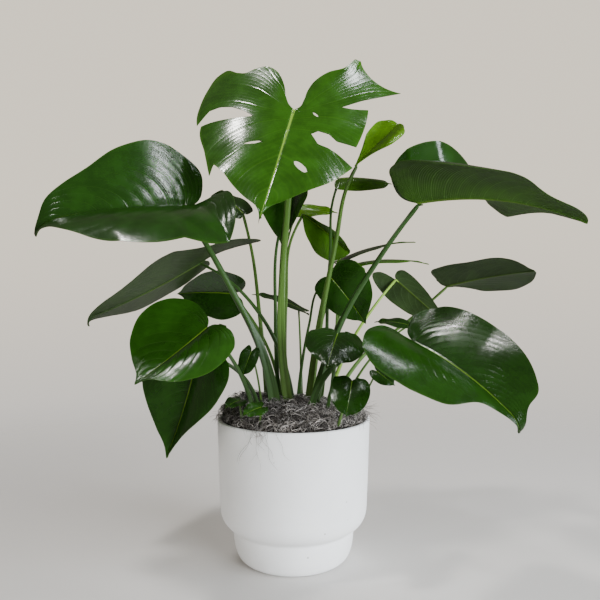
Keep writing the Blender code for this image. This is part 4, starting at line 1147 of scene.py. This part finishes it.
def build_stage(settings):
    """The floor, a dim world that the camera sees as a pale backdrop, three windows that show in
    glossy surfaces, three large fills that don't, and the photograph's camera."""
    build_floor(settings)
    world = bpy.data.worlds.new("Soft room")
    world.use_nodes = True
    room = world.node_tree
    background = room.nodes["Background"]
    seen = node(room, "ShaderNodeLightPath").outputs["Is Camera Ray"]
    way = node(room, "ShaderNodeSeparateXYZ", {0: coordinates(room, "Generated")}).outputs[2]
    backdrop = mix(room, step_between(room, way, -0.45, 0.15), settings.low_backdrop,
                   settings.backdrop)
    light = dim(settings.backdrop, settings.room_light)
    put(room, background.inputs[0], mix(room, seen, light, backdrop))
    background.inputs[1].default_value = 1.6
    bpy.context.scene.world = world
    for name, at, target, size, share, colour, glossy in LIGHTS:
        add_light(name, at, target, size, settings.window_power * share, colour, glossy)
    data = bpy.data.cameras.new("camera")
    data.angle = CAMERA_VIEW
    camera = bpy.data.objects.new("camera", data)
    camera.location = CAMERA_PLACE
    camera.rotation_euler = (CAMERA_TILT, 0, 0)
    bpy.context.scene.collection.objects.link(camera)
    bpy.context.scene.camera = camera


# Add-on

def length_property(name, description, default):
    """A length in metres."""
    return bpy.props.FloatProperty(name=name, description=description, default=default,
                                   min=0.0, unit="LENGTH", precision=5)


def factor_property(name, description, default, least=0.05):
    """A share from least to 1."""
    return bpy.props.FloatProperty(name=name, description=description, default=default,
                                   min=least, max=1.0, subtype="FACTOR")


def colour_property(name, description, default):
    """A colour of three parts from 0 to 1."""
    return bpy.props.FloatVectorProperty(name=name, description=description, default=default,
                                         subtype="COLOR", min=0.0, max=1.0)


class LeafSettings(bpy.types.PropertyGroup):
    """Sizes and colours of the leaf blades"""
    thickness: length_property("Thickness", "Blade thickness at the middle", 0.0007)
    quilting: length_property("Quilting", "Rise of the blade between veins", 0.0009)
    groove: length_property("Midrib groove", "Depth of the sunk midrib", 0.0006)
    gloss_roughness: factor_property("Roughness", "Upper side roughness", 0.17)
    bright: colour_property("Bright green", "The split leaf", (0.020, 0.080, 0.0035))
    leaf: colour_property("Leaf green", "Middle green leaves", (0.014, 0.062, 0.004))
    # A paler green for thin leaves, partly their own colour and partly painted light shining through
    # them.
    fresh: colour_property("Fresh green", "Thin light green leaves", (0.046, 0.135, 0.007))
    dark: colour_property("Dark green", "Dark leaves", (0.009, 0.041, 0.003))
    under: colour_property("Turned leaf", "Upper side of leaves that show their underside",
                           (0.011, 0.040, 0.003))
    young: colour_property("Young green", "Young leaves", (0.105, 0.27, 0.004))
    underside: colour_property("Underside", "Undersides of the leaves", (0.027, 0.074, 0.006))
    turned: colour_property("Grey underside", "Undersides of the turned leaves",
                            (0.024, 0.046, 0.013))
    midrib: colour_property("Midrib", "Midribs of the green leaves", (0.20, 0.36, 0.035))


class PetioleSettings(bpy.types.PropertyGroup):
    """Sizes and colours of the petioles"""
    sheath: factor_property("Sheath", "Width of the sheath's wings, in radii", 0.45, 0.0)
    sheath_reach: factor_property("Sheath reach", "How far up the petiole the sheath goes", 0.55)
    green: colour_property("Stalk green", "Most petioles", (0.070, 0.145, 0.026))
    dull: colour_property("Dull stalk", "Darker petioles", (0.028, 0.072, 0.014))
    deep: colour_property("Deep stalk", "Dark green petioles", (0.022, 0.060, 0.012))
    light: colour_property("Light stalk", "Yellow green petioles", (0.24, 0.42, 0.06))


class PotSettings(bpy.types.PropertyGroup):
    """Colour and roughness of the pot"""
    glaze: colour_property("Pot white", "Colour of the ceramic", (0.91, 0.925, 0.94))
    roughness: factor_property("Roughness", "Ceramic roughness", 0.5)


class MossSettings(bpy.types.PropertyGroup):
    """Number, size and colours of the moss strands"""
    strands: bpy.props.IntProperty(name="Strands", description="Number of curly strands",
                                   default=4600, min=10)
    strand_radius: length_property("Strand radius", "Middle radius of a strand", 0.00034)
    # The dark moss colour is mostly painted shade: the low curly strands take it.
    dark: colour_property("Dark moss", "Darkest strands", (0.022, 0.019, 0.017))
    pale: colour_property("Pale moss", "Palest strands", (0.74, 0.69, 0.65))


class StageSettings(bpy.types.PropertyGroup):
    """Colours and lights around the plant"""
    floor: colour_property("Floor", "Pale floor", (0.70, 0.68, 0.66))
    backdrop: colour_property("Backdrop", "Colour behind the plant", (0.72, 0.65, 0.54))
    low_backdrop: colour_property("Low backdrop", "Colour low behind the plant", (0.42, 0.42, 0.43))
    room_light: bpy.props.FloatProperty(name="Room light", default=0.14, min=0.0,
                                        description="Share of the backdrop that lights the room")
    window_power: bpy.props.FloatProperty(name="Window power", description="Power of the lights",
                                          default=18.0, min=0.0, unit="POWER")


class MONSTERA_OT_pot(bpy.types.Operator):
    """Build the white ceramic pot and the soil in it"""
    bl_idname = "monstera.pot"
    bl_label = "Pot and soil"

    def execute(self, context):
        build_pot(context.scene.monstera_pot)
        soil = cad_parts["soil"]
        soil.data.materials.clear()
        earth = crumb("Soil", (0.012, 0.009, 0.007), (0.05, 0.035, 0.025), 220.0)
        soil.data.materials.append(earth)
        return {"FINISHED"}


class MONSTERA_OT_moss(bpy.types.Operator):
    """Build the moss mat and its curly strands"""
    bl_idname = "monstera.moss"
    bl_label = "Moss"

    def execute(self, context):
        build_moss_mat()
        build_moss_strands(context.scene.monstera_moss)
        build_moss_fringe(context.scene.monstera_moss)
        return {"FINISHED"}


class MONSTERA_OT_split_leaf(bpy.types.Operator):
    """Build the large split leaf at the top"""
    bl_idname = "monstera.split_leaf"
    bl_label = "Split leaf"

    def execute(self, context):
        build_blade("split_leaf", context.scene.monstera_leaves, *SPLIT_GRID)
        return {"FINISHED"}


class MONSTERA_OT_large_leaves(bpy.types.Operator):
    """Build the large entire leaves"""
    bl_idname = "monstera.large_leaves"
    bl_label = "Large leaves"

    def execute(self, context):
        for name in LARGE:
            build_blade(name, context.scene.monstera_leaves, *LARGE_GRID)
        return {"FINISHED"}


class MONSTERA_OT_small_leaves(bpy.types.Operator):
    """Build the smaller leaves between the stalks"""
    bl_idname = "monstera.small_leaves"
    bl_label = "Small leaves"

    def execute(self, context):
        for name in SMALL:
            build_blade(name, context.scene.monstera_leaves, *SMALL_GRID)
        return {"FINISHED"}


class MONSTERA_OT_petioles(bpy.types.Operator):
    """Build the petiole of every leaf"""
    bl_idname = "monstera.petioles"
    bl_label = "Petioles"

    def execute(self, context):
        for name in LEAVES:
            build_petiole(name, context.scene.monstera_petioles)
        return {"FINISHED"}


class MONSTERA_OT_stage(bpy.types.Operator):
    """Build the floor, the lights and the camera"""
    bl_idname = "monstera.stage"
    bl_label = "Stage"

    def execute(self, context):
        build_stage(context.scene.monstera_stage)
        return {"FINISHED"}


class MONSTERA_PT_panel(bpy.types.Panel):
    """Lists the plant's pieces and their settings"""
    bl_idname = "MONSTERA_PT_panel"
    bl_label = "Potted Monstera"
    bl_space_type = "VIEW_3D"
    bl_region_type = "UI"
    bl_category = "Monstera"

    def draw(self, context):
        for group, operators in PANEL_ROWS:
            box = self.layout.box()
            settings = getattr(context.scene, group)
            for key in settings.__annotations__:
                box.prop(settings, key)
            for operator in operators:
                box.operator(operator)


PANEL_ROWS = (
    ("monstera_pot", ("monstera.pot",)),
    ("monstera_moss", ("monstera.moss",)),
    ("monstera_leaves", ("monstera.split_leaf", "monstera.large_leaves", "monstera.small_leaves")),
    ("monstera_petioles", ("monstera.petioles",)),
    ("monstera_stage", ("monstera.stage",)),
)
GROUPS = {"monstera_pot": PotSettings, "monstera_moss": MossSettings,
          "monstera_leaves": LeafSettings, "monstera_petioles": PetioleSettings,
          "monstera_stage": StageSettings}
OPERATORS = (MONSTERA_OT_pot, MONSTERA_OT_moss, MONSTERA_OT_split_leaf, MONSTERA_OT_large_leaves,
             MONSTERA_OT_small_leaves, MONSTERA_OT_petioles, MONSTERA_OT_stage)


def register():
    """Registers the classes and puts the settings on the scene."""
    for made in (*GROUPS.values(), *OPERATORS, MONSTERA_PT_panel):
        bpy.utils.register_class(made)
    for key, group in GROUPS.items():
        setattr(bpy.types.Scene, key, bpy.props.PointerProperty(type=group))


def unregister():
    """Takes the settings off the scene and the classes out again."""
    for key in GROUPS:
        delattr(bpy.types.Scene, key)
    for made in reversed((*GROUPS.values(), *OPERATORS, MONSTERA_PT_panel)):
        bpy.utils.unregister_class(made)


def main():
    """Builds every piece and the stage in the panel's order."""
    register()
    for _, operators in PANEL_ROWS:
        for operator in operators:
            group, name = operator.split(".")
            getattr(getattr(bpy.ops, group), name)()
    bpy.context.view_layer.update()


if __name__ == "__main__":
    main()
